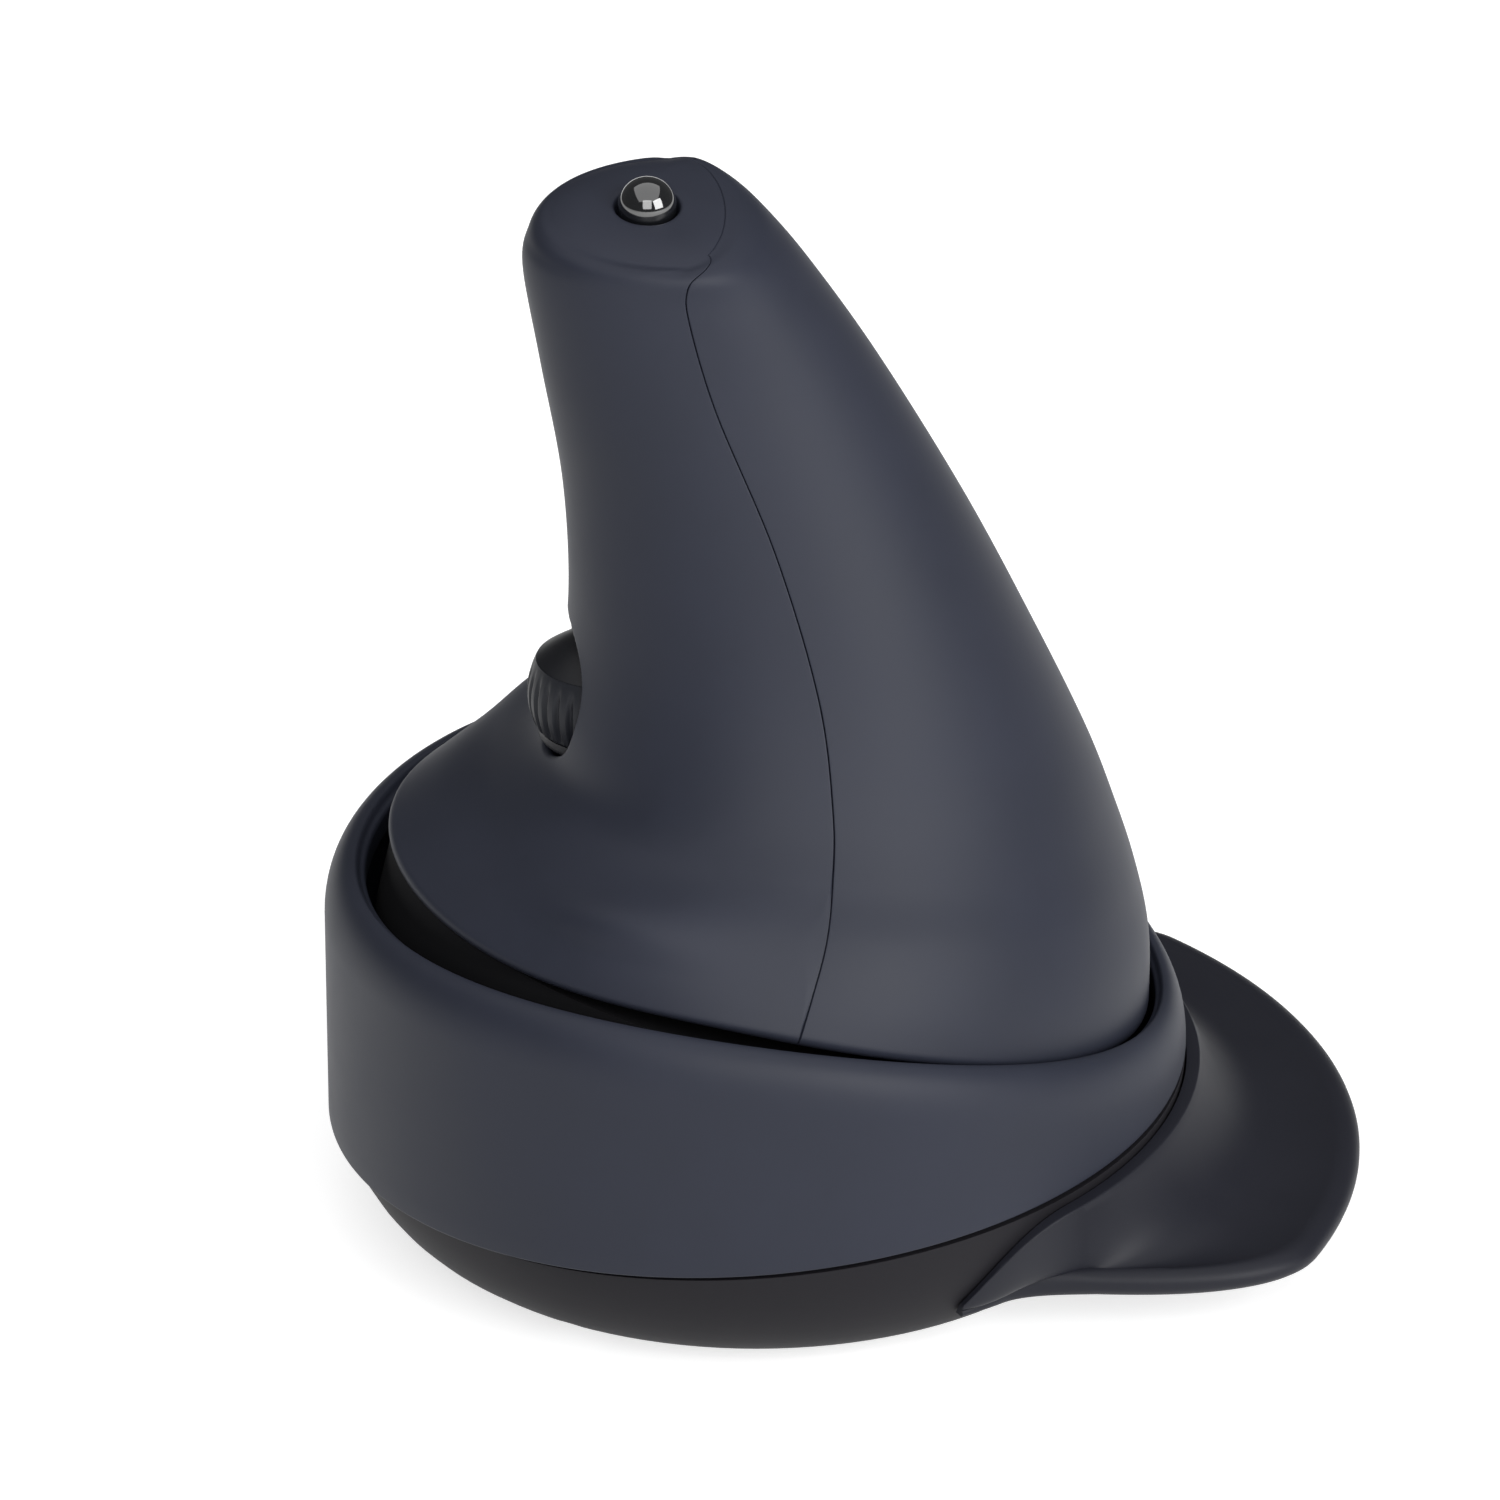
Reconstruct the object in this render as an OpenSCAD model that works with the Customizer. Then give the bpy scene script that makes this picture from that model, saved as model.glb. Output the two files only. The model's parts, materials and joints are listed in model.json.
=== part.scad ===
// Vertical rocking mouse, built as separate pieces in one frame.
// Millimetres. X runs from the thumb side to the palm side, Y runs away from the user, Z is up.
// The desk is at Z = 0 and the origin is the middle of the footprint.

/* [Base] */
// Outer radius of the round base
base_r = 43.5; // [42:0.5:46]
// Inset of the flat underside from the outer radius
floor_inset = 11.5; // [10:0.5:12]
// Thickness of the bottom floor
floor_t = 2; // [1.6:0.1:2.6]
// Wall thickness of the base parts
base_wall = 2.2; // [1.8:0.1:2.6]
// Height of the parting line on the thumb side
seam_thumb_z = 10.5; // [9.5:0.5:12]
// Height of the parting line on the palm side
seam_palm_z = 17.5; // [16:0.5:18.5]
// Open height of the parting groove
seam_groove = 0.5; // [0.3:0.1:0.8]
// Height of the ring crest on the thumb side
crest_thumb_z = 38.4; // [37:0.2:39]
// Height of the ring crest beside the user
crest_side_z = 37.4; // [36:0.2:38]
// Height of the ring crest on the palm side
crest_palm_z = 24.2; // [23:0.1:25]
// Inset of the ring crest from the outer radius
crest_inset = 3; // [2.6:0.1:3.2]
// Inset of the ring opening on the thumb side and beside the user
opening_inset = 4.2; // [4:0.1:4.4]
// Inset of the ring opening on the palm side
opening_palm_inset = 3.2; // [2.8:0.1:3.4]
// Fall of the ring from its crest to its opening
crest_fall = 0.8; // [0.6:0.1:1.2]
// Height of the rounded outer shoulder of the ring
shoulder_h = 5.4; // [4.6:0.1:6]
// Height of the inner face of the ring opening
lip_h = 2.4; // [2:0.1:2.8]
// Thickness of the glide feet
foot_h = 0.8; // [0.6:0.1:1]
// Radius of one glide foot
foot_r = 2.8; // [2.2:0.1:2.8]

/* [Palm rest] */
// Reach of the palm rest from the base centre
rest_reach = 61.4; // [58:0.2:64]
// Angle that the palm rest spans towards the user
rest_near_angle = 65; // [60:1:68]
// Angle that the palm rest spans away from the user
rest_far_angle = 75; // [70:1:76]
// Angle over which each end flows into the base
rest_blend = 29; // [26:1:32]
// Angle of the thin tip at each end
rest_tip = 7; // [5:1:9]
// Angle over which the inner lip comes down at each end
rest_lip_blend = 16; // [14:1:20]
// Height of the underside of the palm rest
rest_under_z = 5.4; // [4.5:0.1:6]
// Thickness of the palm rest at its edge
rest_edge_t = 2.8; // [2.4:0.1:3.4]
// Dip of the hollow below the edge
rest_dip = 0.4; // [0.2:0.1:1]
// Width of the inner lip
rest_lip_w = 1.4; // [1:0.1:2]
// Distance of the inner lip below the parting line
rest_lip_drop = 0.9; // [0.6:0.1:1.4]
// Clearance between the palm rest and the bottom tray
rest_gap = 0.2; // [0.15:0.05:0.3]

/* [Handle] */
// Height of the top facet
handle_top_z = 110.5; // [108:0.5:114]
// Height of the skirt edge on the thumb side
skirt_thumb_z = 42.8; // [42:0.2:45]
// Height of the skirt edge on the palm side
skirt_palm_z = 22.5; // [22.2:0.1:23.5]
// Rise of the skirt edge beside the user
skirt_lift = 4.4; // [4.2:0.1:5]
// Wall thickness of the handle shells
shell_wall = 2.2; // [1.8:0.1:2.4]
// Gap of the line where the two shells meet
shell_gap = 0.15; // [0.1:0.05:0.3]
// Angle by which that line closes in below the facet
joint_turn = 32; // [20:1:40]

/* [Thumb wheel] */
// Largest radius of the ribbed tyre
wheel_r = 8.4; // [8:0.1:8.6]
// Height of the ribbed tyre
tyre_h = 7.2; // [6.4:0.2:8]
// Bulge of the tyre from its ends to its middle
tyre_bulge = 0.9; // [0.4:0.1:1.2]
// Number of ribs
rib_count = 32; // [24:2:40]
// Depth of the grooves between the ribs
rib_depth = 0.45; // [0.2:0.05:0.6]
// Distance of the wheel axis from the base centre
wheel_x = -14.5; // [-15:0.1:-14]
// Height of the middle of the wheel
wheel_z = 57.5; // [57:0.1:58]
// Height of the smooth dome above the tyre
dome_h = 2.4; // [2:0.1:3]
// Radius of the wheel pin
wheel_pin_r = 1.2; // [1:0.1:1.3]
// Clearance around the wheel in its window
wheel_gap = 0.5; // [0.4:0.05:0.8]
// Half height of the wheel window
window_half_h = 7.8; // [7.4:0.1:8.2]

/* [Top button] */
// Radius of the domed button
button_r = 2.9; // [2.6:0.1:3.2]
// Gap around the button in its hole
button_gap = 0.3; // [0.25:0.05:0.4]
// Distance of the button from the base centre
button_x = -10.7; // [-11.5:0.1:-10]
// Travel of the button
button_travel = 0.6; // [0.4:0.05:0.8]
// Length of the button stem below the facet
stem_len = 9.5; // [8.5:0.1:10]

/* [Rocking mechanism] */
// Height of the rocking axis
pivot_z = 20; // [19.5:0.1:20.5]
// Radius of the rocking shaft
shaft_r = 2; // [1.8:0.1:2.2]
// Running clearance of the shaft in its bushes
shaft_fit = 0.05; // [0.03:0.01:0.08]
// Thickness of each bearing post along the shaft
post_t = 4; // [3.5:0.1:4]
// Half width of each bearing post
post_half = 5; // [4.5:0.1:5]
// Clearance between each bearing post and the main board
post_gap = 0.9; // [0.7:0.1:1.1]
// Outer radius of the rocker hub
hub_r = 5; // [4.6:0.1:5.2]
// Distance of each click switch from the rocking axis
click_x = 11; // [10.8:0.1:11.6]
// Distance of each centring spring from the rocking axis
spring_x = 22; // [21.5:0.1:22.5]
// Coil radius of the centring springs
spring_r = 2.4; // [2.1:0.1:2.6]
// Wire radius of the centring springs
spring_wire = 0.35; // [0.3:0.05:0.4]
// Turns of the centring springs
spring_turns = 5; // [4:1:6]
// Inset of the plate that closes the handle from the outer radius of the base
plate_inset = 7.1; // [7:0.1:8]
// Thickness of that plate
plate_t = 2; // [1.6:0.1:2.4]
// Clearance between a click plunger and its rocker foot
plunger_gap = 0.05; // [0.03:0.01:0.1]

/* [Electronics] */
// Thickness of the circuit boards
board_t = 1.6; // [1.2:0.1:1.6]
// Height of the underside of the main board
board_z = 6.4; // [6.2:0.1:6.6]
// Distance of the optical sensor from the rocking plane
sensor_y = 11; // [10.8:0.1:11.4]
// Radius of one dry cell
cell_r = 5.2; // [5:0.05:5.25]
// Length of one dry cell
cell_len = 44; // [43.4:0.1:44.2]
// Height of one dry cell above the tray floor plane
cell_lift = 0.4; // [0.3:0.1:0.6]
// Thickness of the battery door
door_t = 1.2; // [1:0.1:1.4]
// Clearance around the battery door
door_gap = 0.2; // [0.15:0.05:0.3]
// Travel of the power slider
power_travel = 2; // [1.6:0.1:2.2]

/* [Fasteners] */
// Shank radius of the screws
screw_r = 1.2; // [1:0.1:1.3]
// Head radius of the screws
head_r = 2.2; // [2:0.1:2.3]
// Head height of the screws
head_h = 1.4; // [1.2:0.1:1.6]
// Clearance of a screw in its hole
screw_fit = 0.1; // [0.05:0.05:0.2]
// Outer radius of the screw bosses
boss_r = 3.2; // [3:0.1:3.4]

/* [Hidden] */
$fn = 48;
// Small overlap that makes joined solids one piece
eps = 0.02;
// Half size of the blocks that cut away everything beyond a plane
far = 200;
// Segments around the ring and around a handle section
round_n = 64;
// Rows of a handle shell from the skirt to the facet
shell_rows = 26;
// Rings of the top facet
facet_rings = 3;
// Base centre in the shared frame
base_x = -(rest_reach - base_r) / 2;
floor_r = base_r - floor_inset;
plate_r = base_r - plate_inset;
seam_mid_z = (seam_thumb_z + seam_palm_z) / 2;
seam_tilt = atan((seam_palm_z - seam_thumb_z) / (2 * base_r));
floor_top = foot_h + floor_t;
// Height of the tray's side above the parting line, before it is cut there
tray_over = 1;
tray_side_h = seam_palm_z - foot_h + tray_over;

// Height on the parting plane at a distance x from the base centre
function seam_z(x) = seam_mid_z + x * tan(seam_tilt);
// Soft step from 0 to 1
function soft(k) = let (q = min(max(k, 0), 1)) q * q * (3 - 2 * q);
// Height that runs smoothly around the base through a thumb, a side and a palm value
function around(thumb, side, palm, a) =
    side + (palm - thumb) / 2 * cos(a) + ((palm + thumb) / 2 - side) * pow(cos(a), 2);
function polar(r, a, z) = [r * cos(a), r * sin(a), z];
// Outer radius of the bottom tray at a height z
function tray_r(z) =
    let (c = max(0, 1 - (z - foot_h) / tray_side_h))
    floor_r + (base_r - floor_r) * sqrt(1 - c * c);

// Handle outline from the skirt to the facet edge: x, and share of the way up
thumb_line = [[-37.2, 0], [-32.1, 0.034], [-26.2, 0.071], [-21, 0.137], [-20, 0.225],
    [-18.7, 0.372], [-19.2, 0.564], [-21.3, 0.756], [-22.9, 0.904], [-22.4, 0.957],
    [-21.5, 0.985], [-20.2, 1]];
palm_line = [[39.7, 0], [39.6, 0.085], [38.3, 0.159], [36.3, 0.233], [33.4, 0.324], [28.2, 0.455],
    [20.9, 0.625], [12.2, 0.801], [5.4, 0.918], [1.6, 0.968], [-1, 0.99], [-3.2, 1]];
// Distance of the shell joint from the base centre at each outline point
seam_line = [1, 2.5, 4.2, 5.1, 5.5, 4.5, 0.6, -5, -7.6, -7.6, -7.7, -7.7];
// Half width of the handle at each outline point
width_line = [38.5, 36.2, 32.9, 29, 25, 20.2, 15.8, 12.6, 11.4, 11.4, 10.6, 9.8];
// Share of the skirt lift that is left at each outline point
lift_line = [1, 0.7, 0.67, 0.355, 0.11, 0, 0, 0, 0, 0, 0, 0];
// Bluntness of the thumb side, 1 is a plain ellipse
nose_line = [1, 0.74, 0.45, 0.85, 1, 1, 1, 1, 1, 1, 1, 1];
last_row = len(seam_line) - 1;
// How fast the skirt lift fades from beside the user to the thumb side and to the palm side
thumb_fade = 5;
palm_fade = 2;
// Base radius that the outline points are drawn for, and how far up the skirt follows another one
drawn_base_r = 43.5;
spread_u = 0.3;
function spread(u) = 1 + (base_r / drawn_base_r - 1) * (1 - soft(u / spread_u));

// Smooth curve through the points of a list, u from 0 to 1
function curve(list, u) =
    let (s = u * last_row, k = min(floor(s), last_row - 1), f = s - k,
        p1 = list[k], p2 = list[k + 1],
        p0 = k > 0 ? list[k - 1] : 2 * p1 - p2,
        p3 = k < last_row - 1 ? list[k + 2] : 2 * p2 - p1)
    ((2 * p1) + (p2 - p0) * f + (2 * p0 - 5 * p1 + 4 * p2 - p3) * f * f
        + (3 * p1 - p0 - 3 * p2 + p3) * f * f * f) / 2;

// The inner wall also drops inwards below the facet and under the thumb ledge
crown_u = 0.72;
crown_span = 0.2;
ledge_share = 0.8;
ledge_span = 0.09;
ledge_end_u = 0.3;
ledge_fade = 0.15;
function inner_drop(u) = soft((u - crown_u) / crown_span)
    + ledge_share * soft(u / ledge_span) * (1 - soft((u - ledge_end_u) / ledge_fade));

// Point of the handle surface, u up the handle, a around it, w is the depth below the outside
function handle_point(u, a, w = 0) =
    let (k0 = spread(u), t = curve(thumb_line, u), p = curve(palm_line, u), xs = k0 * curve(seam_line, u),
        down = w * inner_drop(u),
        tz = skirt_thumb_z + t[1] * (handle_top_z - skirt_thumb_z) - down,
        pz = skirt_palm_z + p[1] * (handle_top_z - skirt_palm_z) - down,
        tx = k0 * t[0] + w, px = k0 * p[0] - w,
        zs = tz + (pz - tz) * (xs - k0 * t[0]) / (k0 * (p[0] - t[0])),
        c = cos(a),
        k = c < 0 ? pow(-c, curve(nose_line, u)) : c,
        ex = c < 0 ? tx : px, ez = c < 0 ? tz : pz)
    [xs + (ex - xs) * k, (k0 * curve(width_line, u) - w) * sin(a),
        zs + (ez - zs) * k + skirt_lift * curve(lift_line, u)
            * pow(abs(sin(a)), c < 0 ? thumb_fade : palm_fade)];

// Angle from the palm side to the shell joint, which closes in below the facet
joint_turn_u = 0.8;
function joint_angle(u) = 90 - joint_turn * soft((u - joint_turn_u) / (1 - joint_turn_u));
// The same for the rear shell, less the gap
function rear_angle(u) = joint_angle(u) - asin(shell_gap / curve(width_line, u));
// Share of the way up at which the rear shell ends below the facet
rear_top = 0.992;

// Middle of the top facet
function facet_mid(w) = (handle_point(1, 0, w) + handle_point(1, 180, w)) / 2;

// Two triangles for the grid cell between corners p, q, r and s
function cell_tris(p, q, r, s) = [[p, q, r], [p, r, s]];
function flip(tris, shift) = [for (t = tris) [t[2] + shift, t[1] + shift, t[0] + shift]];
// Wall faces along the open border of a sheet
function border_tris(loop, shift) = [
    for (i = [0 : len(loop) - 1])
    let (p = loop[i], q = loop[(i + 1) % len(loop)])
    each cell_tris(q, p, p + shift, q + shift)];

// Closed wall made from an outer and an inner copy of one sheet
module thick_sheet(outer, inner, tris, loop) {
    count = len(outer);
    polyhedron(points = concat(outer, inner),
        faces = concat(tris, flip(tris, count), border_tris(loop, count)));
}

// Palm half of the handle wall, held off the front shell by the joint gap
module rear_sheet() {
    n = round_n / 2;
    row = n + 1;
    pts = function (w) [for (i = [0 : shell_rows], j = [0 : n]) let (u = rear_top * i / shell_rows)
        handle_point(u, rear_angle(u) * (2 * j / n - 1), w)];
    tris = [for (i = [0 : shell_rows - 1], j = [0 : n - 1])
        each cell_tris(i * row + j, (i + 1) * row + j, (i + 1) * row + j + 1, i * row + j + 1)];
    loop = concat([for (j = [0 : n]) j], [for (i = [1 : shell_rows]) i * row + n],
        [for (j = [n - 1 : -1 : 0]) shell_rows * row + j],
        [for (i = [shell_rows - 1 : -1 : 1]) i * row]);
    thick_sheet(pts(0), pts(shell_wall), tris, [for (i = [len(loop) - 1 : -1 : 0]) loop[i]]);
}

// Thumb half of the handle wall together with the whole top facet
module front_sheet() {
    n = round_n / 2;
    row = n + 1;
    first = (shell_rows + 1) * row;
    front_a = function (u, j) joint_angle(u) + (360 - 2 * joint_angle(u)) * j / n;
    palm_a = function (j) joint_angle(1) * (2 * j / n - 1);
    side = function (w) [for (i = [0 : shell_rows], j = [0 : n])
        handle_point(i / shell_rows, front_a(i / shell_rows, j), w)];
    // The palm half of the facet edge, then the inner rings and the middle point
    cap = function (w) let (m = facet_mid(w)) concat(
        [for (j = [1 : n - 1]) handle_point(1, palm_a(j), w)],
        [for (i = [1 : facet_rings - 1], j = [0 : round_n - 1])
            let (a = j < n ? front_a(1, j) : palm_a(j - n))
            m + (handle_point(1, a, w) - m) * (1 - i / facet_rings)],
        [m]);
    edge = concat([for (j = [0 : n]) shell_rows * row + j], [for (j = [0 : n - 2]) first + j]);
    ring = function (i) i == 0 ? edge
        : [for (j = [0 : round_n - 1]) first + n - 1 + (i - 1) * round_n + j];
    mid = first + n - 1 + (facet_rings - 1) * round_n;
    tris = concat(
        [for (i = [0 : shell_rows - 1], j = [0 : n - 1])
            each cell_tris(i * row + j, (i + 1) * row + j, (i + 1) * row + j + 1, i * row + j + 1)],
        [for (i = [0 : facet_rings - 2], j = [0 : round_n - 1]) let (k = (j + 1) % round_n)
            each cell_tris(ring(i)[j], ring(i + 1)[j], ring(i + 1)[k], ring(i)[k])],
        [for (j = [0 : round_n - 1])
            [ring(facet_rings - 1)[j], mid, ring(facet_rings - 1)[(j + 1) % round_n]]]);
    loop = concat([for (j = [0 : n]) j], [for (i = [1 : shell_rows]) i * row + n],
        [for (j = [0 : n - 2]) first + j],
        [for (i = [shell_rows : -1 : 1]) i * row]);
    thick_sheet(concat(side(0), cap(0)), concat(side(shell_wall), cap(shell_wall)), tris,
        [for (i = [len(loop) - 1 : -1 : 0]) loop[i]]);
}

// Everything below is drawn around the base centre and moved to the shared frame here
module at_base() translate([base_x, 0, 0]) children();

// Frame of the plate that closes the handle, its top face is at height 0.
// On the palm side it lies above the skirt edge by the rise.
plate_rise = 2.9;
plate_tilt = atan((skirt_thumb_z - skirt_palm_z - plate_rise) / (palm_line[0][0] - thumb_line[0][0]));
plate_x = -0.8;
plate_drop = 0.3;
plate_z = skirt_thumb_z - (plate_x - thumb_line[0][0]) * tan(plate_tilt) - plate_drop;
module plate_frame() translate([plate_x, 0, plate_z]) rotate([0, plate_tilt, 0]) children();

// Places of the shell screws on that plate
shell_screw_x = [-9, 20];
shell_screw_y = [24, 21];
shell_boss_h = 24;
module shell_screw_places(i) {
    for (side = [-1, 1])
        plate_frame()
        translate([shell_screw_x[i], side * shell_screw_y[i], 0])
        children();
}

// Solid block with the outside shape of the handle, less a depth w
module handle_block(w) {
    rows = [for (i = [0 : shell_rows]) [for (j = [0 : round_n - 1])
        handle_point(i / shell_rows, 360 * j / round_n, w)]];
    low = [plate_x, 0, plate_z];
    pts = concat([for (r = rows) each r], [low, facet_mid(w)]);
    n = len(pts);
    polyhedron(points = pts, faces = concat(
        [for (i = [0 : shell_rows - 1], j = [0 : round_n - 1]) let (k = (j + 1) % round_n)
            each cell_tris(i * round_n + j, (i + 1) * round_n + j,
                (i + 1) * round_n + k, i * round_n + k)],
        [for (j = [0 : round_n - 1]) [j, (j + 1) % round_n, n - 2]],
        [for (j = [0 : round_n - 1])
            [shell_rows * round_n + (j + 1) % round_n, shell_rows * round_n + j, n - 1]]));
}

// Screw with its head below height 0 and its shank above
module screw(len) {
    translate([0, 0, -head_h]) cylinder(r = head_r, h = head_h);
    translate([0, 0, -eps]) cylinder(r = screw_r, h = len + eps);
}

// Window for the thumb wheel, widest in the middle
window_end_r = 4.6;
window_n = 12;
// Height of the middle of the window above the middle of the wheel
window_rise = 0.4;
module wheel_window() {
    translate([wheel_x, 0, wheel_z + window_rise])
        rotate_extrude()
        polygon(concat([[0, -window_half_h]],
            [for (i = [0 : window_n]) let (a = -90 + 180 * i / window_n)
                [window_end_r + (wheel_r + wheel_gap - window_end_r) * cos(a), window_half_h * sin(a)]],
            [[0, window_half_h]]));
}

// Bosses that take the shell screws, kept inside the handle outline
module shell_bosses(i) {
    intersection() {
        handle_block(shell_wall / 2);
        difference() {
            shell_screw_places(i) cylinder(r = boss_r, h = shell_boss_h);
            shell_screw_places(i)
                translate([0, 0, -eps]) cylinder(r = screw_r + screw_fit, h = shell_screw_len + hole_end);
        }
    }
}
shell_screw_len = 9;

module front_shell() {
    color("#2d2d31") at_base()
    resize([0, 0, 0]) union() {
        difference() {
            front_sheet();
            wheel_window();
            translate([button_x, 0, handle_top_z - far / 2])
                cylinder(r = button_r + button_gap, h = far);
        }
        shell_bosses(0);
    }
}

module rear_shell() {
    color("#2a2a2e") at_base()
    resize([0, 0, 0]) union() {
        rear_sheet();
        shell_bosses(1);
    }
}

// Ring of the base

ring_boss_angles = [55, 125, 235, 305];
ring_boss_inset = 9;
ring_boss_rad = base_r - ring_boss_inset;
ring_boss_h = 8;
rib_t = 2;
rib_short = 1;
// Solid end of a blind screw hole
hole_end = 1;
shoulder_n = 5;
ring_n = 80;
function crest_z(a) = around(crest_thumb_z, crest_side_z, crest_palm_z, a);
// Inset of the opening at an angle, and the share of the full inset
function opening_at(a) = around(opening_inset, opening_inset, opening_palm_inset, a);
function crest_share(a) = opening_at(a) / opening_inset;
function ring_profile(a) =
    let (zc = crest_z(a), zo = zc - crest_fall * crest_share(a), ro = base_r - opening_at(a),
        rc = base_r - crest_inset * crest_share(a), ri = base_r - base_wall, rm = base_r - base_wall / 2)
    concat([[base_r, seam_z(base_r * cos(a)) + seam_groove]],
        [for (i = [0 : shoulder_n]) let (w = 90 * i / shoulder_n)
            [rc + (base_r - rc) * cos(w), zc - shoulder_h + shoulder_h * sin(w)]],
        [[ro, zo], [ro, zo - lip_h], [ri, zo - lip_h - (ri - ro)],
            [ri, seam_z(ri * cos(a))], [rm, seam_z(rm * cos(a))],
            [rm, seam_z(rm * cos(a)) + seam_groove]]);

module ring_sweep() {
    n = ring_n;
    count = len(ring_profile(0));
    polyhedron(
        points = [for (j = [0 : n - 1], p = ring_profile(360 * j / n)) polar(p[0], 360 * j / n, p[1])],
        faces = [for (j = [0 : n - 1], i = [0 : count - 1])
            let (k = (j + 1) % n, m = (i + 1) % count)
            each cell_tris(j * count + i, j * count + m, k * count + m, k * count + i)]);
}

module ring_boss_places() {
    for (a = ring_boss_angles)
        translate(polar(ring_boss_rad, a, seam_z(ring_boss_rad * cos(a))))
        rotate([0, 0, a])
        children();
}

// Everything above the parting plane
module above_seam(gap = 0) {
    translate([0, 0, seam_mid_z + gap])
        rotate([0, -seam_tilt, 0])
        translate([-far / 2, -far / 2, 0])
        cube(far);
}

module base_ring() {
    color("#2b2b2f") at_base()
    resize([0, 0, 0]) union() {
        ring_sweep();
        intersection() {
            above_seam();
            difference() {
                ring_boss_places() union() {
                    translate([0, 0, -boss_r]) cylinder(r = boss_r, h = ring_boss_h + boss_r);
                    translate([0, -rib_t / 2, -boss_r])
                        cube([ring_boss_inset - base_wall / 2 - rib_short, rib_t, ring_boss_h + boss_r]);
                }
                ring_boss_places() translate([0, 0, -boss_r])
                    cylinder(r = screw_r + screw_fit, h = ring_boss_h + boss_r - hole_end);
            }
        }
    }
}

// Bottom tray

tray_n = 12;
window_x = 3;
window_y = 4;
cell_y = [5.1, 15.9];
bay_wall = 1.3;
contact_t = 0.5;
bay_x = cell_len / 2 + contact_t;
bay_gap = 0.5;
bay_y0 = cell_y[0] - cell_r - bay_gap;
bay_y1 = cell_y[1] + cell_r + bay_gap;
bay_h = 9;
door_over = 0.4;
door_x = bay_x + door_over;
door_y0 = bay_y0 - door_over;
door_y1 = bay_y1 + door_over;
ledge_w = 0.8;
board_x = 17.5;
board_y0 = -25.4;
board_y1 = -2.5;
post_y = post_gap + post_t / 2 - board_y0;
// Distance of the board screws from the ring bosses, along X
stand_side = 5;
stand_x = -ring_boss_rad * cos(ring_boss_angles[2]) - stand_side;
stand_y = [-22.6, -4.4];
stand_r = 2.4;
spring_post_top = 8;
spring_rim = 1;
power_y = -22.1;
power_half = 1.8;
power_slot = 1.5;
power_play = 0.4;
// Clearance of the shaft in the posts, which hold it fast
post_fit = 0.01;
rest_screw_angles = [-28, 6, 40];
rest_screw_z = 8.4;
rest_seat_inset = 5.5;
rest_seat_over = 0.7;
rest_seat_in = base_r - rest_seat_inset;
rest_seat_out = base_r + rest_seat_over;
// Room for the head and the driver inside the tray
rest_head_room = 5;
rest_boss_r = 2.3;
head_seat_t = 1.2;
head_seat_z = floor_top + head_seat_t;
board_top = board_z + board_t;

module tray_block() {
    rotate_extrude($fn = 96)
        polygon(concat([[0, foot_h]],
            [for (i = [0 : tray_n]) let (a = 90 * i / tray_n)
                [floor_r + (base_r - floor_r) * sin(a), foot_h + tray_side_h * (1 - cos(a))]],
            [[0, foot_h + tray_side_h]]));
}

floor_in = 1;
module tray_hollow() {
    in_r = floor_r - floor_in;
    rotate_extrude($fn = 96)
        polygon(concat([[0, floor_top]],
            [for (i = [0 : tray_n]) let (a = 90 * i / tray_n)
                [in_r + (base_r - base_wall - in_r) * sin(a),
                    floor_top + (tray_side_h - floor_t) * (1 - cos(a))]],
            [[base_r - base_wall, far], [0, far]]));
}

module rest_screw_places() {
    for (a = rest_screw_angles)
        rotate([0, 0, a])
        translate([rest_seat_in, 0, rest_screw_z])
        rotate([0, 90, 0])
        children();
}

// Block between two heights that is centred on x
module centred_block(half_x, y0, y1, z0, z1) {
    translate([-half_x, y0, z0]) cube([2 * half_x, y1 - y0, z1 - z0]);
}

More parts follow.
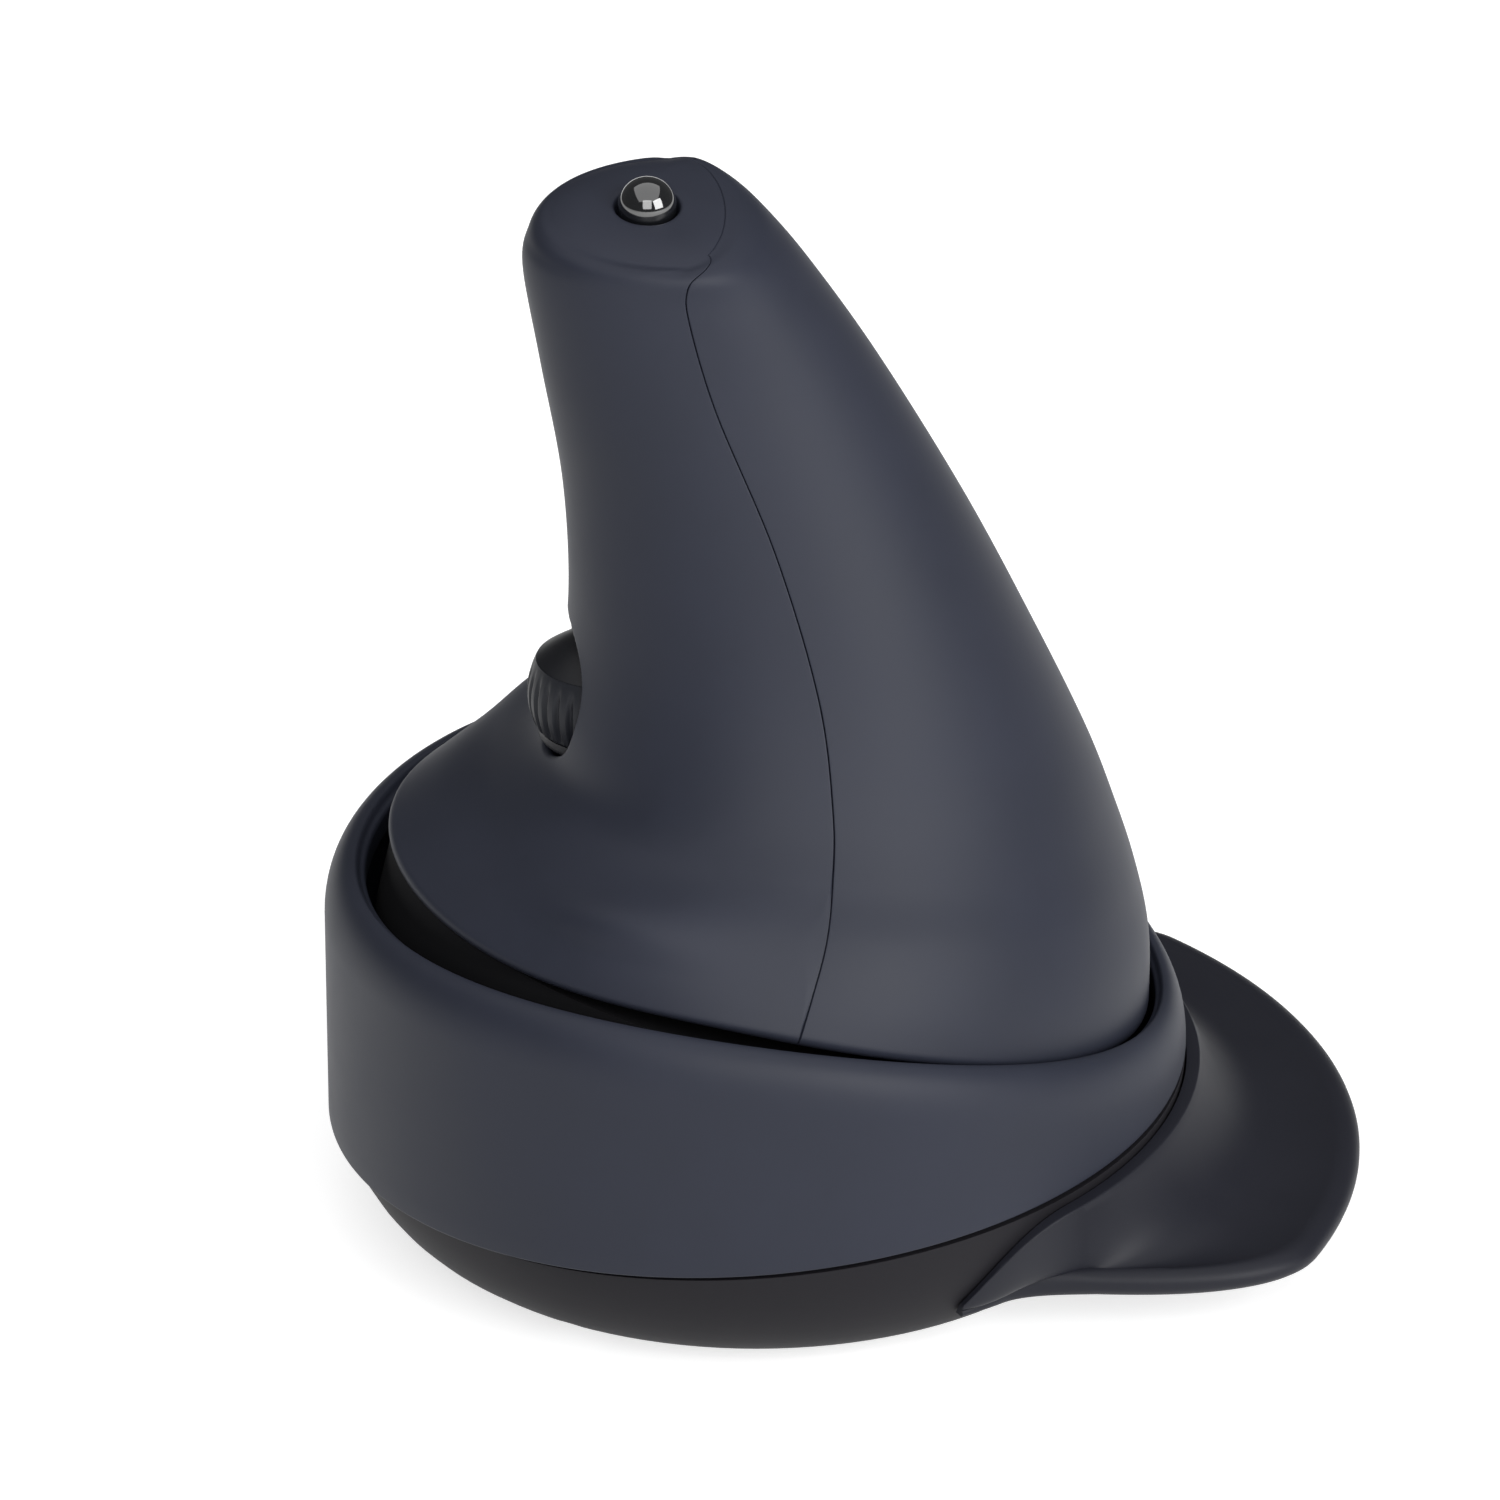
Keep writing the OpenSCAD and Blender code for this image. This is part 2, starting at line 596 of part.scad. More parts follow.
module bottom_tray() {
    color("#2a2724") at_base()
    difference() {
        union() {
            difference() {
                tray_block();
                tray_hollow();
            }
            intersection() {
                tray_block();
                union() {
                    ring_boss_places() translate([0, 0, -far / 2]) cylinder(r = boss_r, h = far);
                    for (side = [-1, 1]) {
                        translate([side * stand_x, stand_y[0], foot_h])
                            cylinder(r = stand_r, h = board_z - foot_h);
                        translate([side * stand_x, stand_y[1], foot_h])
                            cylinder(r = stand_r, h = board_z - foot_h);
                        translate([side * spring_x, -sensor_y, foot_h])
                            cylinder(r = spring_r + spring_rim, h = spring_post_top - foot_h);
                    }
                    difference() {
                        centred_block(bay_x + bay_wall, bay_y0 - bay_wall, bay_y1 + bay_wall,
                            foot_h + floor_t / 2, floor_top + bay_h);
                        centred_block(bay_x, bay_y0, bay_y1, foot_h, far);
                    }
                }
            }
            rest_screw_places() cylinder(r = rest_boss_r, h = rest_seat_out - rest_seat_in);
            for (side = [-1, 1])
                translate([0, side * post_y, 0]) {
                    translate([-post_half, -post_t / 2, floor_top - eps])
                        cube([2 * post_half, post_t, pivot_z - floor_top + eps]);
                    translate([0, -post_t / 2, pivot_z])
                        rotate([-90, 0, 0])
                        cylinder(r = post_half, h = post_t);
                }
        }
        difference() {
            above_seam();
            centred_block(post_half + eps, -post_y - post_t, -post_y + post_t, 0, far);
            centred_block(post_half + eps, post_y - post_t, post_y + post_t, 0, far);
        }
        translate([0, -far / 2, pivot_z]) rotate([-90, 0, 0]) cylinder(r = shaft_r + post_fit, h = far);
        centred_block(window_x, -sensor_y - window_y, -sensor_y + window_y, 0, floor_top + hole_end);
        centred_block(door_x + door_gap, door_y0 - door_gap, door_y1 + door_gap, 0, foot_h + door_t);
        centred_block(door_x - ledge_w, door_y0 + ledge_w, door_y1 - ledge_w, 0, floor_top + eps);
        centred_block(bay_x + eps, bay_y0 - eps, bay_y1 + eps, floor_top + eps, floor_top + bay_h + eps);
        centred_block(power_half + power_travel / 2 + power_play, power_y - power_slot, power_y + power_slot,
            0, floor_top + eps);
        ring_boss_places() translate([0, 0, -far / 2]) cylinder(r = screw_r + screw_fit, h = far);
        for (a = ring_boss_angles)
            translate(polar(ring_boss_rad, a, 0)) cylinder(r = head_r + screw_fit, h = head_seat_z);
        rest_screw_places() {
            translate([0, 0, -eps]) cylinder(r = screw_r + screw_fit, h = far / 4);
            translate([0, 0, -rest_head_room]) cylinder(r = head_r + screw_fit, h = rest_head_room);
        }
        for (side = [-1, 1])
            translate([side * stand_x, stand_y[0], floor_top])
            cylinder(r = screw_r + screw_fit, h = far / 4);
    }
}

// Palm rest

rest_end_t = 0.8;
rest_end_w = 1.4;
// Rise of the lip over the rest at each end
rest_end_rise = 0.6;
// Thinnest wall over the tray
rest_skin = 0.6;
rest_edge_r = 2.2;
rest_n = 60;
// Largest share of the width that the rounded edge takes
edge_share = 0.3;
// Steps across the hollow, and how fast it falls away from the lip
hollow_steps = [0.08, 0.2, 0.36, 0.6];
hollow_power = 4;
// How fast the lip rises from each end
rise_power = 2.5;
// Angle that is left to the nearer end
function rest_left(a) = a < 0 ? rest_near_angle + a : rest_far_angle - a;
function rest_k(a) = soft(rest_left(a) / rest_lip_blend);
function rest_rise(a) = 1 - pow(1 - min(1, rest_left(a) / rest_lip_blend), rise_power);
function rest_lip(a) =
    let (low = rest_under_z + rest_end_t + rest_end_rise)
    low + (seam_z(base_r * cos(a)) - rest_lip_drop - low) * rest_rise(a);
function rest_in(z) = tray_r(z) + rest_gap;
function rest_out(a) =
    let (r0 = rest_in(rest_under_z) + rest_end_w)
    r0 + (rest_reach - r0) * soft((rest_left(a) - rest_tip) / rest_blend);
// Outer point that keeps the thinnest wall
function rest_spot(r, z) = [max(r, rest_in(z) + rest_skin), z];
function rest_profile(a) =
    let (lip = rest_lip(a), ri = rest_in(lip), k = rest_k(a), rb = rest_in(rest_under_z), out = rest_out(a),
        er = min(rest_edge_r, (out - rb) * edge_share), r1 = ri + rest_skin + (rest_lip_w - rest_skin) * k,
        top = rest_under_z + rest_end_t + (rest_edge_t - rest_end_t) * k, low = top - rest_dip * k,
        mid = (top + rest_under_z) / 2, r2 = out - er)
    concat([[ri, lip], [r1, lip]],
        [for (q = hollow_steps)
            rest_spot(r1 + (r2 - r1) * q, low + (lip - low) * pow(1 - q, hollow_power))],
        [for (t = [0 : 45 : 180]) rest_spot(r2 + er * sin(t), mid + (top - mid) * cos(t))],
        [[(rb + r2) / 2, rest_under_z], [rb, rest_under_z]],
        [for (q = [0.25, 0.5, 0.75]) let (z = rest_under_z + (lip - rest_under_z) * q) [rest_in(z), z]]);

module rest_sweep() {
    count = len(rest_profile(0));
    step = (rest_near_angle + rest_far_angle) / rest_n;
    angle = function (j) -rest_near_angle + step * j;
    polyhedron(
        points = [for (j = [0 : rest_n], p = rest_profile(angle(j))) polar(p[0], angle(j), p[1])],
        faces = concat(
            [for (j = [0 : rest_n - 1], i = [0 : count - 1]) let (m = (i + 1) % count)
                each cell_tris(j * count + m, j * count + i, (j + 1) * count + i, (j + 1) * count + m)],
            [[for (i = [0 : count - 1]) i]],
            [[for (i = [count - 1 : -1 : 0]) rest_n * count + i]]));
}

rest_screw_over = 3.2;
rest_screw_len = rest_seat_out - rest_seat_in + rest_screw_over;
// Room beyond the end of a screw
screw_end = 0.4;
module palm_rest() {
    color("#232325") at_base()
    resize([0, 0, 0]) difference() {
        rest_sweep();
        rest_screw_places() {
            cylinder(r = rest_boss_r + rest_gap, h = rest_seat_out - rest_seat_in);
            cylinder(r = screw_r + screw_fit, h = rest_screw_len + screw_end);
        }
    }
}

// Small parts of the base

foot_angles = [8, 90, 172, 225, 270, 315];
foot_inset = 0.8;
foot_rad = floor_r - foot_r - foot_inset;
module glide_feet() {
    color("#d8d8d4") at_base()
    for (a = foot_angles) translate(polar(foot_rad, a, 0)) cylinder(r = foot_r, h = foot_h);
}

// Play of the battery door below its ledge
door_play = 0.05;
module battery_door() {
    color("#2a2724") at_base()
    centred_block(door_x, door_y0, door_y1, foot_h, foot_h + door_t - door_play);
}

// The board's window is this much smaller than the tray's
window_in = 0.5;
// Clearance of the board around the ring bosses
board_clear = 0.3;
module main_board() {
    color("#1f5a35") at_base()
    difference() {
        centred_block(board_x, board_y0, board_y1, board_z, board_top);
        centred_block(window_x - window_in, -sensor_y - window_y + window_in,
            -sensor_y + window_y - window_in, 0, far);
        for (side = [-1, 1])
            translate([side * stand_x, stand_y[0], 0]) cylinder(r = screw_r + screw_fit, h = far);
        ring_boss_places() translate([0, 0, -far / 2]) cylinder(r = boss_r + board_clear, h = far);
    }
}

sensor_half = [4.8, 6.2];
sensor_h = 2.6;
module optical_sensor() {
    color("#1a1a1c") at_base()
    centred_block(sensor_half[0], -sensor_y - sensor_half[1], -sensor_y + sensor_half[1],
        board_top, board_top + sensor_h);
}

lens_half = [5, 7];
module sensor_lens() {
    color("#cfe3ea") at_base()
    centred_block(lens_half[0], -sensor_y - lens_half[1], -sensor_y + lens_half[1], floor_top, board_z);
}

led_r = 1.5;
led_h = 4;
led_ahead = 9.4;
module sensor_led() {
    color("#d04030") at_base()
    translate([0, -sensor_y - led_ahead, board_top]) cylinder(r = led_r, h = led_h);
}

chip_half = 3;
chip_h = 1;
// Distance of the chip from the nearer board screw, along X
chip_side = 6.2;
chip_y = -21.4;
module radio_chip() {
    color("#161618") at_base()
    translate([chip_side - stand_x, chip_y, board_top + chip_h / 2])
    cube([2 * chip_half, 2 * chip_half, chip_h], center = true);
}

switch_half = [2.9, 6.4];
switch_h = 6.5;
plunger_half = [0.6, 1.4];
plunger_slot = 0.1;
plunger_out = 0.8;
plunger_in = 1.9;
plunger_room = 0.8;
plunger_top = board_top + switch_h + plunger_out;

module click_switch(side) {
    translate([side * click_x, -sensor_y, board_top])
    difference() {
        centred_block(switch_half[0], -switch_half[1], switch_half[1], 0, switch_h);
        centred_block(plunger_half[0] + plunger_slot, -plunger_half[1] - plunger_slot,
            plunger_half[1] + plunger_slot, switch_h - plunger_in - plunger_room, far);
    }
}

module click_plunger(side) {
    translate([side * click_x, -sensor_y, board_top + switch_h])
    centred_block(plunger_half[0], -plunger_half[1], plunger_half[1], -plunger_in, plunger_out);
}

module left_switch() {
    color("#1c1c20") at_base() click_switch(-1);
}

module right_switch() {
    color("#1c1c20") at_base() click_switch(1);
}

module left_plunger() {
    color("#e8e4d8") at_base() click_plunger(-1);
}

module right_plunger() {
    color("#e8e4d8") at_base() click_plunger(1);
}

nub_len = 0.8;
nub_r = 1.8;
module dry_cell(i, side) {
    translate([0, cell_y[i], floor_top + cell_lift + cell_r])
    rotate([0, side * 90, 0]) {
        translate([0, 0, -cell_len / 2]) cylinder(r = cell_r, h = cell_len - nub_len);
        translate([0, 0, cell_len / 2 - nub_len - eps]) cylinder(r = nub_r, h = nub_len + eps);
    }
}

module cell_front() {
    color("#9a8a3a") at_base() dry_cell(0, 1);
}

module cell_rear() {
    color("#9a8a3a") at_base() dry_cell(1, -1);
}

contact_short = 1;
module cell_contacts() {
    color("#c8c8cc") at_base()
    for (side = [-1, 1])
        translate([side * (cell_len / 2 + contact_t / 2) - contact_t / 2, bay_y0, floor_top])
        cube([contact_t, bay_y1 - bay_y0, bay_h - contact_short]);
}

power_half_x = 5;
power_half_y = 2.5;
power_h = 3;
stem_half = 0.5;
stem_play = 0.2;
// Depth of the slider's stem in the switch
stem_in = 1;
// Flange that keeps the slider in its slot
flange_over = 1.4;
flange_t = 0.4;
flange_lift = 0.1;
slot_play = 0.3;
module power_switch() {
    color("#202024") at_base()
    difference() {
        centred_block(power_half_x, power_y - power_half_y, power_y + power_half_y,
            board_z - power_h, board_z);
        centred_block(stem_half + power_travel / 2 + power_play, power_y - stem_half - stem_play,
            power_y + stem_half + stem_play, 0, board_z - power_h + stem_in + power_play);
    }
}

module power_slider() {
    color("#b8b8bc") at_base()
    translate([-power_travel / 2, 0, 0]) {
        centred_block(power_half, power_y - power_slot + slot_play, power_y + power_slot - slot_play,
            foot_h + power_play, floor_top + stem_play);
        centred_block(power_half + flange_over, power_y - power_slot - flange_t,
            power_y + power_slot + flange_t, floor_top + flange_lift, floor_top + flange_lift + flange_t);
        centred_block(stem_half, power_y - stem_half, power_y + stem_half, floor_top + flange_t,
            board_z - power_h + stem_in);
    }
}

shaft_over = 0.2;
shaft_len = 2 * (post_y + shaft_over) + post_t;
module along_shaft(y0) translate([0, y0, pivot_z]) rotate([-90, 0, 0]) children();

module pivot_shaft() {
    color("#b0b2b6") at_base() along_shaft(-shaft_len / 2) cylinder(r = shaft_r, h = shaft_len);
}

bush_r = 3.2;
bush_len = 6;
bush_flange_r = 4.4;
bush_flange_t = 0.8;
// Gap between a bush flange and its post
bush_gap = 0.3;
hub_half = post_y - post_t / 2 - bush_flange_t - bush_gap;
module pivot_bushes() {
    color("#b58a4a") at_base()
    for (side = [-1, 1])
        mirror([0, side < 0 ? 1 : 0, 0])
        difference() {
            union() {
                along_shaft(hub_half - bush_len) cylinder(r = bush_r, h = bush_len);
                along_shaft(hub_half) cylinder(r = bush_flange_r, h = bush_flange_t);
            }
            along_shaft(hub_half - far / 4) cylinder(r = shaft_r + shaft_fit, h = far / 2);
        }
}

// Rocker that carries the whole handle

arm_half_y = 2.5;
arm_z = 17.2;
arm_top = 21.5;
arm_over = 3;
tip_r = 1.2;
web_half = [4, 20];
mast_half = [3, 4];
mast_below = 6;
mast_top = handle_top_z - stem_len - mast_below;
// Wall that hangs from the plate and closes the view into the base
rim_h = 9;
rim_t = 1.6;
rim_low_z = 27;

module rocker_frame() {
    color("#3a3a3e") at_base()
    difference() {
        union() {
            along_shaft(-hub_half) cylinder(r = hub_r, h = 2 * hub_half);
            centred_block(spring_x + arm_over, -sensor_y - arm_half_y, -sensor_y + arm_half_y,
                arm_z, arm_top);
            for (side = [-1, 1])
                translate([side * click_x, -sensor_y, 0]) {
                    centred_block(tip_r, -arm_half_y, arm_half_y,
                        plunger_top + plunger_gap + tip_r, arm_z + eps);
                    translate([0, -arm_half_y, plunger_top + plunger_gap + tip_r])
                        rotate([-90, 0, 0])
                        cylinder(r = tip_r, h = 2 * arm_half_y);
                }
            centred_block(web_half[0], -web_half[1], web_half[1], pivot_z + hub_r / 2, plate_z - plate_t / 2);
            plate_frame() translate([0, 0, -plate_t]) cylinder(r = plate_r, h = plate_t);
            intersection() {
                plate_frame() translate([0, 0, -rim_h]) difference() {
                    cylinder(r = plate_r, h = rim_h);
                    translate([0, 0, -eps]) cylinder(r = plate_r - rim_t, h = rim_h - plate_t / 2);
                }
                centred_block(far / 2, -far / 2, far / 2, rim_low_z, far);
            }
            centred_block(mast_half[0], -mast_half[1], mast_half[1], plate_z - plate_t / 2, mast_top);
        }
        along_shaft(-far / 2) cylinder(r = bush_r, h = far);
        for (i = [0, 1])
            shell_screw_places(i)
            translate([0, 0, -far / 20])
            cylinder(r = screw_r + screw_fit, h = far / 20 + eps);
        bracket_screw_places() cylinder(r = screw_r + screw_fit, h = far / 10);
        translate([0, 0, mast_top - mast_below]) cylinder(r = screw_r + screw_fit, h = far);
    }
}

spring_len = arm_z - spring_post_top;
spring_steps = 12;
spring_sides = 6;
spring_flat = 0.8;
module coil() {
    n = spring_turns * spring_steps;
    flat = spring_flat / spring_turns;
    rise = spring_len - 2 * spring_wire;
    spot = function (i) let (u = i / n, a = 360 * spring_turns * u,
        z = spring_wire + rise * min(max((u - flat) / (1 - 2 * flat), 0), 1))
        [for (k = [0 : spring_sides - 1]) let (b = 360 * k / spring_sides)
            polar(spring_r + spring_wire * cos(b), a, z + spring_wire * sin(b))];
    polyhedron(
        points = [for (i = [0 : n]) each spot(i)],
        faces = concat(
            [for (i = [0 : n - 1], k = [0 : spring_sides - 1]) let (m = (k + 1) % spring_sides)
                each cell_tris(i * spring_sides + k, i * spring_sides + m,
                    (i + 1) * spring_sides + m, (i + 1) * spring_sides + k)],
            [[for (k = [spring_sides - 1 : -1 : 0]) k]],
            [[for (k = [0 : spring_sides - 1]) n * spring_sides + k]]));
}

module centring_springs() {
    color("#c4c6ca") at_base()
    for (side = [-1, 1])
        translate([side * spring_x, -sensor_y, spring_post_top])
        coil();
}

// Thumb wheel and what holds it

arm_tip_r = 1.8;
arm_t = 2;
arm_reach = 8.2;
low_arm_z = wheel_z - arm_reach;
high_arm_z = wheel_z + arm_reach;
// Length of the pin below the lower arm, in the encoder
pin_over = 3;
back_t = 2;
back_half_y = 6;
back_x = -mast_half[0];
pin_fit = 0.05;
encoder_half = 4;
encoder_h = 5;
encoder_wall = 1;
bracket_screw_z = [53, 62];
bracket_screw_len = 7.4;
module bracket_screw_places() {
    for (z = bracket_screw_z)
        translate([mast_half[0], 0, z])
        rotate([0, -90, 0])
        children();
}

module wheel_arm(z) {
    translate([wheel_x, -arm_tip_r, z]) cube([back_x - back_t - wheel_x + eps, 2 * arm_tip_r, arm_t]);
    translate([wheel_x, 0, z]) cylinder(r = arm_tip_r, h = arm_t);
}

module wheel_bracket() {
    color("#4a4a4e") at_base()
    difference() {
        union() {
            wheel_arm(low_arm_z - arm_t);
            wheel_arm(high_arm_z);
            translate([back_x - back_t, -back_half_y, low_arm_z - arm_t])
                cube([back_t, 2 * back_half_y, high_arm_z - low_arm_z + 2 * arm_t]);
        }
        translate([wheel_x, 0, 0]) cylinder(r = wheel_pin_r + pin_fit, h = far);
        bracket_screw_places() cylinder(r = screw_r + screw_fit, h = far / 10);
    }
}

module wheel_pin() {
    color("#b0b2b6") at_base()
    translate([wheel_x, 0, low_arm_z - arm_t - pin_over])
    cylinder(r = wheel_pin_r, h = high_arm_z - low_arm_z + 2 * arm_t + pin_over);
}

hub_core_r = 6.2;
hub_lip_r = 7.3;
hub_neck_r = 2.2;
hub_side_gap = 0.3;
hub_low_h = 1.3;
hub_edge = 0.6;
// Clearance of the tyre on the hub
tyre_fit = 0.02;
dome_n = 6;
module wheel_hub() {
    z0 = wheel_z - tyre_h / 2;
    z1 = wheel_z + tyre_h / 2;
    color("#2c2c30") at_base()
    translate([wheel_x, 0, 0])
    rotate_extrude()
    polygon(concat([[wheel_pin_r, low_arm_z + hub_side_gap], [hub_neck_r, low_arm_z + hub_side_gap],
            [hub_neck_r, z0 - hub_low_h], [hub_lip_r - hub_edge, z0 - hub_low_h],
            [hub_lip_r, z0 - hub_low_h + hub_edge], [hub_lip_r, z0], [hub_core_r, z0], [hub_core_r, z1]],
        [for (i = [0 : dome_n]) let (a = 90 * i / dome_n)
            [hub_neck_r + (hub_lip_r - hub_neck_r) * cos(a), z1 + dome_h * sin(a)]],
        [[hub_neck_r, high_arm_z - hub_side_gap], [wheel_pin_r, high_arm_z - hub_side_gap]]));
}

tyre_rows = 6;
rib_steps = 4;
module wheel_tyre() {
    n = rib_count * rib_steps;
    // Two inner corners and a bulged, ribbed outside
    spot = function (j) let (a = 360 * j / n, groove = rib_depth * (1 - cos(360 * j / rib_steps)) / 2,
        bore = (hub_core_r + tyre_fit) / cos(180 / n))
        concat([polar(bore, a, -tyre_h / 2)],
            [for (i = [0 : tyre_rows]) let (q = 2 * i / tyre_rows - 1)
                polar(wheel_r - tyre_bulge * q * q - groove * (1 - pow(q, 4)), a, q * tyre_h / 2)],
            [polar(bore, a, tyre_h / 2)]);
    count = tyre_rows + 3;
    color("#3c3f46") at_base()
    translate([wheel_x, 0, wheel_z])
    polyhedron(
        points = [for (j = [0 : n - 1]) each spot(j)],
        faces = [for (j = [0 : n - 1], i = [0 : count - 1])
            let (k = (j + 1) % n, m = (i + 1) % count)
            each cell_tris(j * count + i, j * count + m, k * count + m, k * count + i)]);
}

module wheel_encoder() {
    color("#2a5a8a") at_base()
    difference() {
        translate([wheel_x - wheel_pin_r - encoder_wall, -encoder_half, low_arm_z - arm_t - encoder_h])
            cube([2 * encoder_half, 2 * encoder_half, encoder_h]);
        translate([wheel_x, 0, 0]) cylinder(r = wheel_pin_r + pin_fit, h = far);
    }
}

// Top button and what it presses

collar_r = 4.2;
collar_gap = 0.4;
collar_h = 0.9;
stem_r = 1.6;
// Depth of the middle of the dome below the facet
dome_base = 0.8;
button_n = 8;
module top_button() {
    zf = handle_top_z - shell_wall;
    color("#3a3c40") at_base()
    translate([button_x, 0, 0])
    rotate_extrude()
    polygon(concat([[0, handle_top_z - stem_len], [stem_r, handle_top_z - stem_len],
            [stem_r, zf - collar_gap - collar_h], [collar_r, zf - collar_gap - collar_h],
            [collar_r, zf - collar_gap], [button_r, zf - collar_gap]],
        [for (i = [0 : button_n]) let (a = 90 * i / button_n)
            [button_r * cos(a), handle_top_z - dome_base + button_r * sin(a)]]));
}

plunger_len = 1.1;
plunger_r = 1.6;
module button_plunger() {
    color("#e8e4d8") at_base()
    translate([button_x, 0, handle_top_z - stem_len - plunger_len])
    cylinder(r = plunger_r, h = plunger_len);
}

tact_half = 3;
tact_gap = 0.8;
tact_top = handle_top_z - stem_len - tact_gap;
tact_play = 0.3;
tab_over = 1.4;
module button_switch() {
    color("#1c1c20") at_base()
    translate([button_x, 0, 0])
    difference() {
        translate([-tact_half, -tact_half, mast_top + board_t])
            cube([2 * tact_half, 2 * tact_half, tact_top - mast_top - board_t]);
        translate([0, 0, tact_top - button_travel - tact_gap]) cylinder(r = plunger_r + tact_play, h = far);
    }
}

tab_half_y = 5;
module handle_board() {
    color("#1f5a35") at_base()
    difference() {
        translate([button_x - tact_half - tab_over, -tab_half_y, mast_top])
            cube([mast_half[0] - button_x + tact_half + tab_over, 2 * tab_half_y, board_t]);
        cylinder(r = screw_r + screw_fit, h = far);
    }
}

// Screws

ring_screw_short = 2;
module ring_screws() {
    color("#85878b") at_base()
    for (a = ring_boss_angles)
        let (x = ring_boss_rad * cos(a))
        translate(polar(ring_boss_rad, a, head_seat_z))
        screw(seam_z(x) - head_seat_z + ring_boss_h - ring_screw_short);
}

module rest_screws() {
    color("#85878b") at_base() rest_screw_places() screw(rest_screw_len);
}

module shell_screws() {
    color("#85878b") at_base()
    for (i = [0, 1])
        shell_screw_places(i)
        translate([0, 0, -plate_t])
        screw(plate_t + shell_screw_len - hole_end);
}

module board_screws() {
    color("#85878b") at_base() {
        for (side = [-1, 1])
            translate([side * stand_x, stand_y[0], board_top])
            mirror([0, 0, 1])
            screw(board_top - floor_top - screw_end);
    }
}

tab_screw_in = 5;
module bracket_screws() {
    color("#85878b") at_base() {
        bracket_screw_places() screw(bracket_screw_len);
        translate([0, 0, mast_top + board_t]) mirror([0, 0, 1]) screw(board_t + tab_screw_in);
    }
}

base_ring();
bottom_tray();
palm_rest();
glide_feet();
battery_door();
main_board();
optical_sensor();
sensor_lens();
sensor_led();
radio_chip();
left_switch();
right_switch();
left_plunger();
right_plunger();
cell_front();
cell_rear();
cell_contacts();
power_switch();
power_slider();
pivot_shaft();
pivot_bushes();
centring_springs();
rocker_frame();
front_shell();
rear_shell();
wheel_bracket();
wheel_pin();
wheel_hub();
wheel_tyre();
wheel_encoder();
top_button();
button_plunger();
button_switch();
handle_board();
ring_screws();
rest_screws();
shell_screws();
board_screws();
bracket_screws();
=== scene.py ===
"""Dressed model of a vertical rocking mouse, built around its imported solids.

Lengths are millimetres until a mesh is made, where they become metres. The shapes are worked out
around the middle of the round base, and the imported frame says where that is.
"""

import json
import logging
import math
from dataclasses import dataclass
from enum import Enum
from typing import Any

import bmesh
import bpy
import numpy as np
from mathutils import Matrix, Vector


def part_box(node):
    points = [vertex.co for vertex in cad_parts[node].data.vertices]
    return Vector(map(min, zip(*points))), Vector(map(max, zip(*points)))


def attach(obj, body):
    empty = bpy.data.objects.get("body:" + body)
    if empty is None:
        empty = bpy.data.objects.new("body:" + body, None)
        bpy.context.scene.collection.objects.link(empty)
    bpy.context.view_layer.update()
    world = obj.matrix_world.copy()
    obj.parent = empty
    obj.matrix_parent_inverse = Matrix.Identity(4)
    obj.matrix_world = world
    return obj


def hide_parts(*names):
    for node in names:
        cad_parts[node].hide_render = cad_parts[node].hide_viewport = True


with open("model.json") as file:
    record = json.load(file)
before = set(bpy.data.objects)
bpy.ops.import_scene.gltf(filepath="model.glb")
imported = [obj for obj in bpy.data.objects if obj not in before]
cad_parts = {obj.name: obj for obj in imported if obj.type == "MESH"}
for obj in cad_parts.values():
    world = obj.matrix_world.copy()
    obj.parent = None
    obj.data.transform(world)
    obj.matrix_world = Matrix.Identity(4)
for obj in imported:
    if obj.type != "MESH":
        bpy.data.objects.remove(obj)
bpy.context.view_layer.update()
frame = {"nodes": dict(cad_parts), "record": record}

LOG = logging.getLogger("mouse")
MM = 0.001
PHOTO_SIDE_PX = 1500
# Edges that turn more than this many degrees stay sharp
SHARP_DEG = 35.0
# Points that lie closer than this, in metres, are one point
MERGE_M = 1e-7
QUARTER_TURN = math.pi / 2
# Four grids of numbers of one shape
Grids = tuple[np.ndarray, np.ndarray, np.ndarray, np.ndarray]


class Body(Enum):
    """Bodies of the frame that the dressed pieces ride on."""

    BASE = "base"
    HANDLE = "handle"
    WHEEL = "wheel"
    BUTTON = "button"


def node_box(node: str) -> tuple[np.ndarray, np.ndarray]:
    """Corners of a node of the frame.

    Args:
        node: Name of the node.

    Returns:
        Lowest and highest corner in millimetres.
    """
    low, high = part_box(node)
    return np.array(low) / MM, np.array(high) / MM


RING_LOW, RING_HIGH = node_box("base_ring")
BASE_R = (RING_HIGH[0] - RING_LOW[0]) / 2
BASE_X = (RING_HIGH[0] + RING_LOW[0]) / 2


def soft(k: np.ndarray | float) -> np.ndarray:
    """Soft step from 0 to 1.

    Args:
        k: Place along the step, the step itself from 0 to 1.

    Returns:
        Height of the step at each place.
    """
    q = np.clip(k, 0.0, 1.0)
    return q * q * (3 - 2 * q)


def roll(distance: np.ndarray, radius: float) -> np.ndarray:
    """Depth of a rounded edge below the surface.

    Args:
        distance: Distance from the edge along the surface.
        radius: Radius of the round.

    Returns:
        Depth at each point, nothing beyond the radius.
    """
    left = np.clip(radius - distance, 0.0, radius)
    return radius - np.sqrt(radius * radius - left * left)


